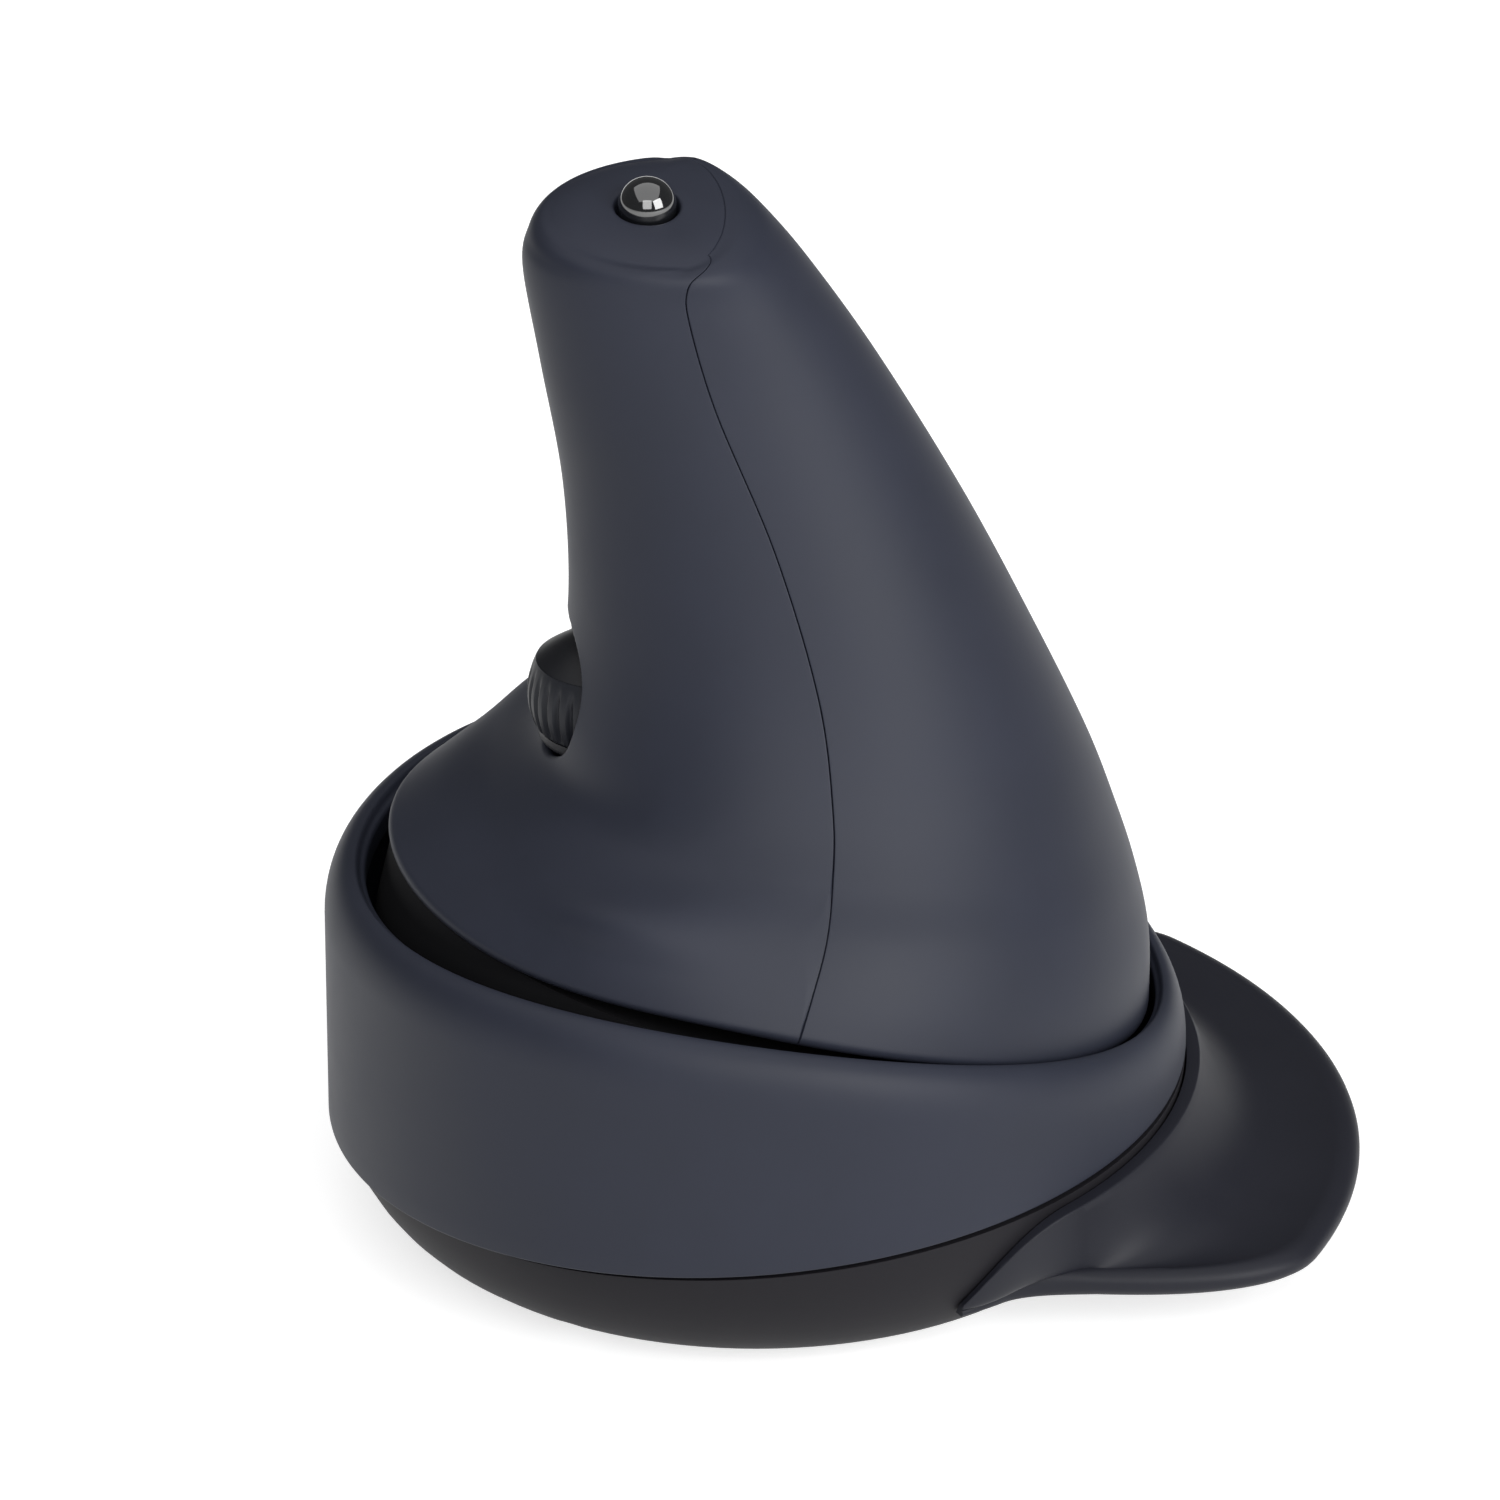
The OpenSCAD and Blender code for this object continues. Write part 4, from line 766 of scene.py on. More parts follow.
@dataclass
class Handle:
    """Both shells of the handle.

    Attributes:
        form: Outer surface.
        window: Opening for the thumb wheel.
        button_x: Place of the button axis.
        hole_r: Radius of the button hole.
        wall: Wall thickness.
        skirt_round: Round of the skirt edge.
        seam_round: Round of the edges along the joint.
        seam_gap: Width of the joint.
        window_round: Round of the window edge.
        hole_round: Round of the edge of the button hole.
        dish: Depth of the hollow of the top facet.
        dish_reach: Distance from the facet edge over which it hollows.
        crown_reach: Reach of the soft round between the sides and the facet.
    """

    form: HandleForm
    window: WheelWindow
    button_x: float
    hole_r: float
    wall: float = 2.2
    skirt_round: float = 0.9
    seam_round: float = 0.13
    seam_gap: float = 0.07
    window_round: float = 0.55
    hole_round: float = 0.35
    dish: float = 0.3
    dish_reach: float = 7.0
    crown_reach: float = 6.0

    # Rows and columns: close-set along the edges, wider apart between them
    EDGE_STEPS = np.array([0, 0.12, 0.3, 0.55, 0.9, 1.4, 2.2, 3.4, 5.0, 7.0])
    SKIRT_STEPS = np.array([0, 0.1, 0.22, 0.36, 0.52, 0.7, 0.9, 1.2, 1.6])
    FACET_STEPS = np.array([0, 0.015, 0.03, 0.06, 0.1, 0.17, 0.28, 0.4,
                            0.54, 0.67, 0.78, 0.87, 0.93, 0.965, 0.985, 1])
    # Length up the surface for a whole unit of u, as it is beside the skirt edge
    SIDE_LENGTH = 57.0
    # Ends of the stretches of rows: skirt, flare, waist with the window, and neck
    SKIRT_END, FLARE_END, WAIST_END, NECK_END = 0.035, 0.2, 0.47, 0.88
    # Half of the angle around the thumb side that the wheel window lies in
    WINDOW_HALF_DEG = 40

    def edge_ways(self, flat: np.ndarray) -> tuple[np.ndarray, np.ndarray]:
        """Directions that leave the facet edge.

        Args:
            flat: Rows of points of the side, the last one at the facet edge.

        Returns:
            Unit vectors down the side and across the facet.
        """
        down = flat[-3] - flat[-1]
        across = -grid_normals(flat)[-1]
        across[..., 2] = self.form.nod * across[..., 1]
        return (down / np.linalg.norm(down, axis=-1, keepdims=True),
                across / np.linalg.norm(across, axis=-1, keepdims=True))

    def crown(self, distance: np.ndarray, fold: np.ndarray) -> np.ndarray:
        """Shift of points onto a soft round, from their distance to the facet edge and its fold."""
        left = np.clip(1 - distance / self.crown_reach, 0.0, 1.0)
        return self.crown_reach / 4 * (left * left)[..., None] * fold

    def rows(self, fine: bool) -> np.ndarray:
        """Places of the rows up the handle.

        Args:
            fine: Whether the stretch at the wheel window is close-set.

        Returns:
            Values from 0 to 1.
        """
        flare_rows, neck_rows, crown_rows = 26, 48, 32
        waist_rows = 96 if fine else 40
        return np.concatenate([
            self.SKIRT_STEPS * self.skirt_round / self.SIDE_LENGTH,
            np.linspace(self.SKIRT_END, self.FLARE_END, flare_rows)[:-1],
            np.linspace(self.FLARE_END, self.WAIST_END, waist_rows),
            np.linspace(self.WAIST_END, self.NECK_END, neck_rows)[1:],
            np.linspace(self.NECK_END, 1, crown_rows)[1:]])

    def span(self, middle: np.ndarray) -> np.ndarray:
        """Angles from one joint to the other, 0 to 180, close-set at both ends."""
        return np.concatenate([self.EDGE_STEPS, middle, 180 - self.EDGE_STEPS[::-1]])

    def cut_window(self, u: np.ndarray, a: np.ndarray) -> Grids:
        """Fits a grid of surface places to the edge of the wheel window.

        Args:
            u: Grid of places up the handle.
            a: Grid of angles.

        Returns:
            The moved places, the moved angles, the distance from the window edge and the kept points.
        """
        du, da = 1e-4, 1e-2
        flattest, smallest = 1e-6, 1e-12
        tries = 6

        def slope(u: np.ndarray, a: np.ndarray) -> Grids:
            """Slopes of the window distance on the surface.

            Args:
                u: Grid of places up the handle.
                a: Grid of angles.

            Returns:
                Window distance, its slopes along u and a, and its steepness.
            """
            here = self.form.point(u, a)
            f = self.window.outside(here)
            pu = (self.form.point(u + du, a) - here) / du
            pa = (self.form.point(u, a + da) - here) / da
            fu = (self.window.outside(here + pu * du) - f) / du
            fa = (self.window.outside(here + pa * da) - f) / da
            guu, gaa, gua = (pu * pu).sum(-1), (pa * pa).sum(-1), (pu * pa).sum(-1)
            det = np.maximum(guu * gaa - gua * gua, smallest)
            su, sa = (gaa * fu - gua * fa) / det, (guu * fa - gua * fu) / det
            return f, su, sa, np.maximum(fu * su + fa * sa, flattest)

        f, _, _, steep = slope(u, a)
        kept = f >= 0
        near = np.zeros_like(kept)
        near[:-1] |= kept[1:]
        near[1:] |= kept[:-1]
        near[:, :-1] |= near[:, 1:] | kept[:, 1:]
        near[:, 1:] |= near[:, :-1] | kept[:, :-1]
        snap = near & ~kept
        for _ in range(tries):
            g, su, sa, sharp = slope(u, a)
            u = np.where(snap, u - g * su / sharp, u)
            a = np.where(snap, a - g * sa / sharp, a)
        distance = np.where(kept, np.maximum(f, 0) / np.sqrt(steep), 0.0)
        return u, a, distance, kept

    def front(self) -> bpy.types.Object:
        """Front shell: the thumb half, the wheel window and the whole top facet.

        Returns:
            The object.
        """
        wide_step, fine_step = 2, 0.5
        low, fine, high = (np.arange(9, 64, wide_step), np.arange(64.25, 116.0, fine_step),
                           np.arange(117, 172.5, wide_step))
        half = self.span(np.concatenate([low, fine, high]))
        u, a = np.meshgrid(self.rows(True), half, indexing="ij")
        a = self.form.joint(u) + a * (2 - self.form.joint(u) / 90)
        u, a, window_far, kept = self.cut_window(u, a)
        flat = self.form.point(u, a)
        side_far = np.minimum(run_length(flat, 1), run_length(flat[:, ::-1], 1)[:, ::-1])
        normal = grid_normals(flat)
        depth = (roll(side_far, self.seam_round) + roll(run_length(flat, 0), self.skirt_round)
                 + np.where(np.abs(a - 180) < self.WINDOW_HALF_DEG, roll(window_far, self.window_round), 0))
        down, across = self.edge_ways(flat)
        top_far = run_length(flat[::-1], 0)[::-1]
        outer = flat - normal * depth[..., None] + self.crown(top_far, down + across)
        inner = self.window.push_out(self.form.point(u, a, self.wall))
        quads = grid_faces(*u.shape)
        quads = quads[kept.reshape(-1)[quads].any(1)]
        cap_out, cap_in, cap_quads = self.facet(flat[-3:], inner[-1], u.size)
        points_out = np.concatenate([outer.reshape(-1, 3), cap_out])
        points_in = np.concatenate([inner.reshape(-1, 3), cap_in])
        return thick_piece("front_shell_piece", points_out, points_in, np.concatenate([quads, cap_quads]))

    def facet(self, last_rows: np.ndarray, edge_in: np.ndarray,
              count: int) -> tuple[np.ndarray, np.ndarray, np.ndarray]:
        """Top facet between the facet edge and the button hole.

        Args:
            last_rows: Last rows of the thumb half, outside and before the round.
            edge_in: Last row of the thumb half, inside.
            count: Number of points before the facet's own.

        Returns:
            Outer points, inner points and quads that also use the last row.
        """
        cols = len(edge_in)
        turn = self.form.joint(1.0) / 90
        wide_step, row_step = 3, 0.005
        palm_a = (self.span(np.arange(9.5, 171, wide_step))[1:-1] - 90) * turn
        palm_rows = self.form.point(1 - row_step * np.array([[2], [1], [0]]), palm_a[None])
        ring = np.concatenate([last_rows[-1], palm_rows[-1]])
        both_ways = zip(self.edge_ways(last_rows), self.edge_ways(palm_rows))
        down, across = (np.concatenate(ways) for ways in both_ways)
        ring_in = np.concatenate([edge_in, self.form.point(1.0, palm_a, self.wall)])
        palm = np.concatenate([np.zeros(cols, bool), np.ones(len(palm_a), bool)])
        centre = np.array([self.button_x, 0.0])
        way = np.arctan2(ring[:, 1], ring[:, 0] - self.button_x)
        hole = centre + self.hole_r * np.stack([np.cos(way), np.sin(way)], -1)
        share = self.FACET_STEPS[:, None, None]
        plan = ring[None, :, :2] * (1 - share) + hole[None] * share
        edge_far = ((plan - ring[None, :, :2]) * across[None, :, :2]).sum(-1)
        hole_far = np.linalg.norm(plan - hole[None], axis=-1)
        fade = 1 - share**4
        shift = self.crown(edge_far, (down + across)[None]) * fade
        z = (self.form.top_z + self.form.nod * plan[..., 1] - self.dish * soft(edge_far / self.dish_reach)
             - np.where(palm[None], roll(edge_far, self.seam_round), 0) - roll(hole_far, self.hole_round))
        outer = np.concatenate([plan, z[..., None]], -1) + shift
        plan_in = ring_in[None, :, :2] * (1 - share) + hole[None] * share
        inner_z = self.form.top_z - self.wall + self.form.nod * plan_in[..., 1]
        inner = np.concatenate([plan_in, inner_z[..., None]], -1)
        total = len(ring)
        first = (count - cols) + np.arange(cols)
        own = count + np.arange(total - cols)
        index = np.concatenate([first, own])
        rows = len(self.FACET_STEPS)
        rest = count + (total - cols) + np.arange((rows - 1) * total).reshape(-1, total)
        table = np.concatenate([index[None], rest])
        quads = table.reshape(-1)[grid_faces(rows, total, closed=True)]
        outer_list = np.concatenate([outer[0, cols:], outer[1:].reshape(-1, 3)])
        inner_list = np.concatenate([ring_in[cols:], inner[1:].reshape(-1, 3)])
        return outer_list, inner_list, quads

    def rear(self) -> bpy.types.Object:
        """Rear shell: the palm half of the handle.

        Returns:
            The object.
        """
        wide_step, probe_deg, most_deg, smallest = 1.5, 2.0, 2.0, 1e-3
        palm_length = 45.0
        rows = self.rows(False)
        half = self.span(np.arange(9, 172, wide_step))
        u, a = np.meshgrid(rows, half, indexing="ij")
        probe = self.form.point(rows, probe_deg - 90) - self.form.point(rows, -90.0)
        reach = np.linalg.norm(probe, axis=-1) / probe_deg
        slip = np.minimum(self.seam_gap / np.maximum(reach, smallest), most_deg)[:, None]
        a = (a / 90 - 1) * (self.form.joint(u) - slip)
        u = np.minimum(u, 1 - self.seam_gap / palm_length)
        flat = self.form.point(u, a)
        side_far = np.minimum(run_length(flat, 1), run_length(flat[:, ::-1], 1)[:, ::-1])
        top_far = run_length(flat[::-1], 0)[::-1]
        normal = grid_normals(flat)
        depth = (roll(side_far, self.seam_round) + roll(top_far, self.seam_round)
                 + roll(run_length(flat, 0), self.skirt_round))
        down, across = self.edge_ways(flat)
        outer = flat - normal * depth[..., None] + self.crown(top_far, down + across)
        inner = self.form.point(u, a, self.wall)
        points_out, points_in = outer.reshape(-1, 3), inner.reshape(-1, 3)
        return thick_piece("rear_shell_piece", points_out, points_in, grid_faces(*u.shape))

    def build(self, wardrobe: Wardrobe) -> None:
        """Builds and dresses both shells."""
        wardrobe.place(self.front(), "shell_front", Body.HANDLE, "front_shell")
        wardrobe.place(self.rear(), "shell_rear", Body.HANDLE, "rear_shell")


@dataclass
class BaseRing:
    """Tall ring of the base with its rolled crest.

    Attributes:
        wall: Wall thickness.
        seam_thumb_z: Height of the parting line on the thumb side.
        seam_palm_z: Height of the parting line on the palm side.
        groove: Open height of the parting groove.
        crest_thumb_z: Crest height on the thumb side.
        crest_side_z: Crest height beside the user.
        crest_palm_z: Crest height on the palm side.
        crest_in: Inset of the crest from the outside.
        opening_in: Inset of the opening on the thumb side and beside the user.
        opening_palm_in: Inset of the opening on the palm side.
        crest_fall: Fall from the crest to the opening.
        shoulder_h: Height of the rounded shoulder.
        lip_h: Height of the inner face of the opening.
        lip_round: Round of the inner lip.
        groove_round: Round of the edge over the groove.
    """

    wall: float = 2.2
    seam_thumb_z: float = 10.5
    seam_palm_z: float = 17.5
    groove: float = 0.5
    crest_thumb_z: float = 38.4
    crest_side_z: float = 37.4
    crest_palm_z: float = 24.2
    crest_in: float = 3.0
    opening_in: float = 4.2
    opening_palm_in: float = 3.2
    crest_fall: float = 0.8
    shoulder_h: float = 5.4
    lip_h: float = 2.4
    lip_round: float = 0.6
    groove_round: float = 0.25

    def seam_z(self, x: np.ndarray) -> np.ndarray:
        """Height of the parting plane at a distance towards the palm side."""
        middle = (self.seam_thumb_z + self.seam_palm_z) / 2
        return middle + x * (self.seam_palm_z - self.seam_thumb_z) / (2 * BASE_R)

    @staticmethod
    def around(thumb: float, side: float, palm: float, a: float) -> float:
        """Value that runs smoothly around the base, at an angle in radians from the palm side."""
        c = math.cos(a)
        return side + (palm - thumb) / 2 * c + ((palm + thumb) / 2 - side) * c * c

    def outline(self, a: float) -> np.ndarray:
        """Closed outline of the wall at one angle.

        Args:
            a: Angle in radians.

        Returns:
            Radius and height of each point.
        """
        crest = self.around(self.crest_thumb_z, self.crest_side_z, self.crest_palm_z, a)
        inset = self.around(self.opening_in, self.opening_in, self.opening_palm_in, a)
        share = inset / self.opening_in
        lip, opening = crest - self.crest_fall * share, BASE_R - inset
        top_r, shoulder_z = BASE_R - self.crest_in * share, crest - self.shoulder_h
        inner, mid = BASE_R - self.wall, BASE_R - self.wall / 2
        bottom = float(self.seam_z(BASE_R * math.cos(a))) + self.groove
        g = self.groove_round
        under = [(BASE_R - g + g * math.sin(w), bottom + g - g * math.cos(w))
                 for w in np.linspace(0, QUARTER_TURN, 5)]
        wall = [(BASE_R, bottom + g + (shoulder_z - bottom - g) * k) for k in np.linspace(0.1, 0.9, 7)]
        shoulder = [(top_r + (BASE_R - top_r) * math.cos(w), shoulder_z + self.shoulder_h * math.sin(w))
                    for w in np.linspace(0, QUARTER_TURN, 14)]
        k = self.lip_round * share
        fall_end, lip_lift, edge_start = lip + 0.25 * k, 0.1 * k, 0.3
        fall = [(top_r + (opening + k - top_r) * q, crest + (fall_end - crest) * q * q)
                for q in np.linspace(0.15, 0.95, 7)]
        edge = [(opening + k - k * math.sin(w), lip - k + k * math.cos(w) + lip_lift)
                for w in np.linspace(edge_start, QUARTER_TURN, 6)]
        inside = [(opening, lip - self.lip_h), (inner, lip - self.lip_h - (inner - opening)),
                  (inner, float(self.seam_z(inner * math.cos(a)))),
                  (mid, float(self.seam_z(mid * math.cos(a)))),
                  (mid, float(self.seam_z(mid * math.cos(a))) + self.groove)]
        return np.array(under + wall + shoulder + fall + edge + inside)

    def build(self, wardrobe: Wardrobe) -> None:
        """Builds and dresses the ring.

        Args:
            wardrobe: Finishes.
        """
        steps = 288
        angles = np.linspace(0, 2 * np.pi, steps, endpoint=False)
        points = np.array([stood_up(self.outline(a), a) for a in angles])
        wardrobe.place(swept_piece("base_ring_piece", points), "ring", Body.BASE, "base_ring")


@dataclass
class PalmRest:
    """Crescent wing on the palm side of the tray.

    Attributes:
        ring: Ring that gives the parting plane.
        floor_r: Radius of the tray's flat underside.
        foot_h: Height of the tray's underside.
        side_h: Height of the tray's rounded side.
        reach: Reach from the base centre.
        near_deg: Angle that it spans towards the user.
        far_deg: Angle that it spans away from the user.
        blend_deg: Angle over which each end flows into the base.
        tip_deg: Angle of the thin tip at each end.
        lip_blend_deg: Angle over which the lip comes down at each end.
        rise_power: How fast the lip rises from each end.
        under_z: Height of the underside.
        edge_t: Thickness at the edge.
        edge_r: Width of the rounded edge.
        dip: Dip of the hollow below the edge.
        lip_w: Width of the lip.
        lip_drop: Distance of the lip below the parting line.
        gap: Clearance to the tray.
        end_t: Thickness at each end.
        end_w: Width at each end.
        end_rise: Rise of the lip over the rest at each end.
        skin: Thinnest wall over the tray.
        edge_share: Largest share of the wing's width that the rounded edge takes.
        crisp_r: Radius of the crisp edge of the lip.
        crisp_share: Largest share of the lip's width that this edge takes.
        crisp_turn: Angle in radians that this edge turns through.
        slope_power: How fast the slope below the lip flattens out.
        edge_power: How late the hollow rises to the edge.
        end_crowd: How far the outlines crowd together at each end.
    """

    ring: BaseRing
    floor_r: float = 32.0
    foot_h: float = 0.8
    side_h: float = 17.7
    reach: float = 61.4
    near_deg: float = 65.0
    far_deg: float = 75.0
    blend_deg: float = 29.0
    tip_deg: float = 7.0
    lip_blend_deg: float = 16.0
    rise_power: float = 2.5
    under_z: float = 5.4
    edge_t: float = 2.8
    edge_r: float = 2.2
    dip: float = 0.4
    lip_w: float = 1.4
    lip_drop: float = 0.9
    gap: float = 0.2
    end_t: float = 0.8
    end_w: float = 1.4
    end_rise: float = 0.6
    skin: float = 0.6
    edge_share: float = 0.3
    crisp_r: float = 0.22
    crisp_share: float = 0.4
    crisp_turn: float = 1.1
    slope_power: int = 4
    edge_power: int = 6
    end_crowd: float = 1.3

    def tray_r(self, z: float) -> float:
        """Outer radius of the tray at a height."""
        c = max(0.0, 1 - (z - self.foot_h) / self.side_h)
        return self.floor_r + (BASE_R - self.floor_r) * math.sqrt(max(0.0, 1 - c * c))

    def outline(self, deg: float) -> np.ndarray:
        """Closed outline of the wing at one angle.

        Args:
            deg: Angle from the palm side in degrees.

        Returns:
            Radius and height of each point.
        """
        left = self.near_deg + deg if deg < 0 else self.far_deg - deg
        k = float(soft(left / self.lip_blend_deg))
        rise = 1 - (1 - min(1.0, left / self.lip_blend_deg)) ** self.rise_power
        low_lip = self.under_z + self.end_t + self.end_rise
        high_lip = float(self.ring.seam_z(BASE_R * math.cos(math.radians(deg)))) - self.lip_drop
        lip = low_lip + (high_lip - low_lip) * rise
        base = self.tray_r(self.under_z) + self.gap
        r0 = base + self.end_w
        out = r0 + (self.reach - r0) * float(soft((left - self.tip_deg) / self.blend_deg))
        inner = self.tray_r(lip) + self.gap
        lip_w = self.skin + (self.lip_w - self.skin) * k
        edge = min(self.edge_r, (out - base) * self.edge_share)
        top = self.under_z + self.end_t + (self.edge_t - self.end_t) * k
        low = top - self.dip * k
        r1, r2, mid = inner + lip_w, out - edge, (top + self.under_z) / 2
        b = min(self.crisp_r, lip_w * self.crisp_share)
        crisp = [(r1 - b + b * math.sin(t), lip - b + b * math.cos(t))
                 for t in np.linspace(0, self.crisp_turn, 5)]
        start_r, start_z = crisp[-1]
        hollow = [(start_r + (r2 - start_r) * q,
                   low + (start_z - low) * (1 - q) ** self.slope_power + (top - low) * q**self.edge_power)
                  for q in np.linspace(0.03, 0.97, 32)]
        nose = [(r2 + edge * math.sin(t), mid + (top - mid) * math.cos(t))
                for t in np.linspace(0, math.pi, 14)]
        outside = [(max(r, self.tray_r(z) + self.gap + self.skin), z) for r, z in crisp + hollow + nose]
        under = [(base + (r2 - base) * q, self.under_z) for q in (0.66, 0.33, 0.0)]
        back = []
        for q in np.linspace(0.12, 0.95, 8):
            z = self.under_z + (lip - self.under_z) * q
            back.append((self.tray_r(z) + self.gap, z))
        return np.array([(inner, lip)] + outside + under + back)

    def build(self, wardrobe: Wardrobe) -> None:
        """Builds and dresses the wing.

        Args:
            wardrobe: Finishes.
        """
        steps = 221
        share = np.linspace(-1, 1, steps)
        ends = np.where(share < 0, self.near_deg, self.far_deg)
        degrees = ends * np.sign(share) * (1 - (1 - np.abs(share)) ** self.end_crowd)
        points = np.array([stood_up(self.outline(deg), math.radians(deg)) for deg in degrees])
        piece = swept_piece("palm_rest_piece", points, closed=False)
        wardrobe.place(piece, "rest", Body.BASE, "palm_rest")


@dataclass
class ThumbWheel:
    """Ribbed wheel on a vertical pin, with a smooth dome on top.

    Attributes:
        axis_x: Place of the axis.
        mid_z: Height of the middle of the tyre.
        tyre_r: Largest radius of the tyre.
        tyre_h: Height of the tyre.
        bulge: Bulge of the tyre from its ends to its middle.
        ribs: Number of ribs.
        rib_depth: Depth of the grooves between the ribs.
        core_r: Radius inside the tyre.
        lip_r: Radius of the hub's lower rim.
        dome_r: Radius of the dome's rim.
        neck_r: Radius of the hub's necks.
        pin_r: Radius of the pin.
        dome_h: Height of the dome.
        low_h: Height of the lower rim.
        neck_low: Bottom of the lower neck.
        neck_high: Top of the upper neck.
        groove_share: Share of a rib's width that the groove's sides take.
        fade_start: Place up the tyre, from -1 to 1, where the grooves begin to fade.
        end_round: Round of the tyre's lower end.
        end_share: Share of that round that is cut.
        rim_round: Round of the hub's lower rim.
        clearance: Clearance between the hub and the tyre's ends.
        core_gap: Clearance between the hub and the tyre's bore.
        dome_power: How full the dome is.
    """

    axis_x: float
    mid_z: float
    tyre_r: float
    tyre_h: float
    neck_low: float
    neck_high: float
    bulge: float = 0.9
    ribs: int = 32
    rib_depth: float = 0.45
    core_r: float = 6.22
    lip_r: float = 7.3
    dome_r: float = 7.46
    neck_r: float = 2.2
    pin_r: float = 1.2
    dome_h: float = 2.4
    low_h: float = 1.3
    groove_share: float = 0.62
    fade_start: float = 0.1
    end_round: float = 0.35
    end_share: float = 0.8
    rim_round: float = 0.6
    clearance: float = 0.04
    core_gap: float = 0.02
    dome_power: float = 1.6

    def tyre(self) -> bpy.types.Object:
        """Tyre with rounded ribs between narrow grooves.

        Returns:
            The object.
        """
        per_rib, rows = 14, 25
        a = np.linspace(0, 2 * np.pi, self.ribs * per_rib, endpoint=False)[:, None]
        q = np.linspace(-1, 1, rows)[None, :]
        phase = np.abs(((a * self.ribs / (2 * np.pi)) + 0.5) % 1.0 - 0.5) * 2
        fade = (1 - q**6) * (1 - soft((q - self.fade_start) / (1 - self.fade_start)))
        groove = self.rib_depth * (1 - soft(phase / self.groove_share)) * fade
        low_end = roll((1 + q) * self.tyre_h / 2, self.end_round) * self.end_share
        r = self.tyre_r - self.bulge * q * q - groove - low_end
        z = self.mid_z + q * self.tyre_h / 2 + 0 * a
        bore = np.full((len(a), 1), self.core_r)
        r = np.concatenate([bore, r, bore], 1)
        ends = np.full((len(a), 1), self.tyre_h / 2)
        z = np.concatenate([self.mid_z - ends, z, self.mid_z + ends], 1)
        points = np.stack([self.axis_x + r * np.cos(a), r * np.sin(a), z], -1)
        return swept_piece("wheel_tyre_piece", points)

    def hub(self) -> bpy.types.Object:
        """Hub with its lower rim and its dome.

        Returns:
            The object.
        """
        low = self.mid_z - self.tyre_h / 2 - self.clearance
        high = self.mid_z + self.tyre_h / 2 + self.clearance
        core, foot = self.core_r - self.core_gap, self.mid_z - self.tyre_h / 2 - self.low_h
        stem = [(self.pin_r, self.neck_low), (self.neck_r, self.neck_low), (self.neck_r, foot)]
        k = self.rim_round
        rim = [(self.lip_r - k + k * math.sin(t), foot + k - k * math.cos(t))
               for t in np.linspace(0, QUARTER_TURN, 6)]
        middle = [(self.lip_r, low), (core, low), (core, high)]
        dome = [(self.dome_r + (self.neck_r - self.dome_r) * q,
                 high + self.dome_h * (1 - (1 - q) ** self.dome_power)) for q in np.linspace(0, 1, 22)]
        top = [(self.neck_r, self.neck_high), (self.pin_r, self.neck_high)]
        profile = np.array(stem + rim + middle + dome + top)
        return turned_piece("wheel_hub_piece", profile, (self.axis_x, 0.0))

    def build(self, wardrobe: Wardrobe) -> None:
        """Builds and dresses the wheel."""
        wardrobe.place(self.tyre(), "tyre", Body.WHEEL, "wheel_tyre")
        wardrobe.place(self.hub(), "hub", Body.WHEEL, "wheel_hub")


@dataclass
class TopButton:
    """Polished domed button on its stem.

    Attributes:
        axis_x: Place of the axis.
        facet_z: Height of the top facet.
        low_z: Bottom of the stem.
        dome_r: Radius of the dome.
        dome_drop: Depth of the dome's centre below the facet.
        wall: Wall of the shell above the collar.
        collar_r: Radius of the collar.
        collar_gap: Gap between the collar and the shell.
        collar_h: Height of the collar.
        stem_r: Radius of the stem.
    """

    axis_x: float
    facet_z: float
    low_z: float
    dome_r: float
    dome_drop: float = 0.3
    wall: float = 2.2
    collar_r: float = 4.2
    collar_gap: float = 1.5
    collar_h: float = 0.9
    stem_r: float = 1.6

    def build(self, wardrobe: Wardrobe) -> None:
        """Builds and dresses the button.

        Args:
            wardrobe: Finishes.
        """
        top = self.facet_z - self.wall - self.collar_gap
        stem = [(0.0, self.low_z), (self.stem_r, self.low_z), (self.stem_r, top - self.collar_h),
                (self.collar_r, top - self.collar_h), (self.collar_r, top), (self.dome_r, top)]
        dome_z = self.facet_z - self.dome_drop
        dome = [(self.dome_r * math.cos(t), dome_z + self.dome_r * math.sin(t))
                for t in np.linspace(0, QUARTER_TURN, 28)]
        piece = turned_piece("top_button_piece", np.array(stem + dome), (self.axis_x, 0.0))
        wardrobe.place(piece, "button", Body.BUTTON, "top_button")


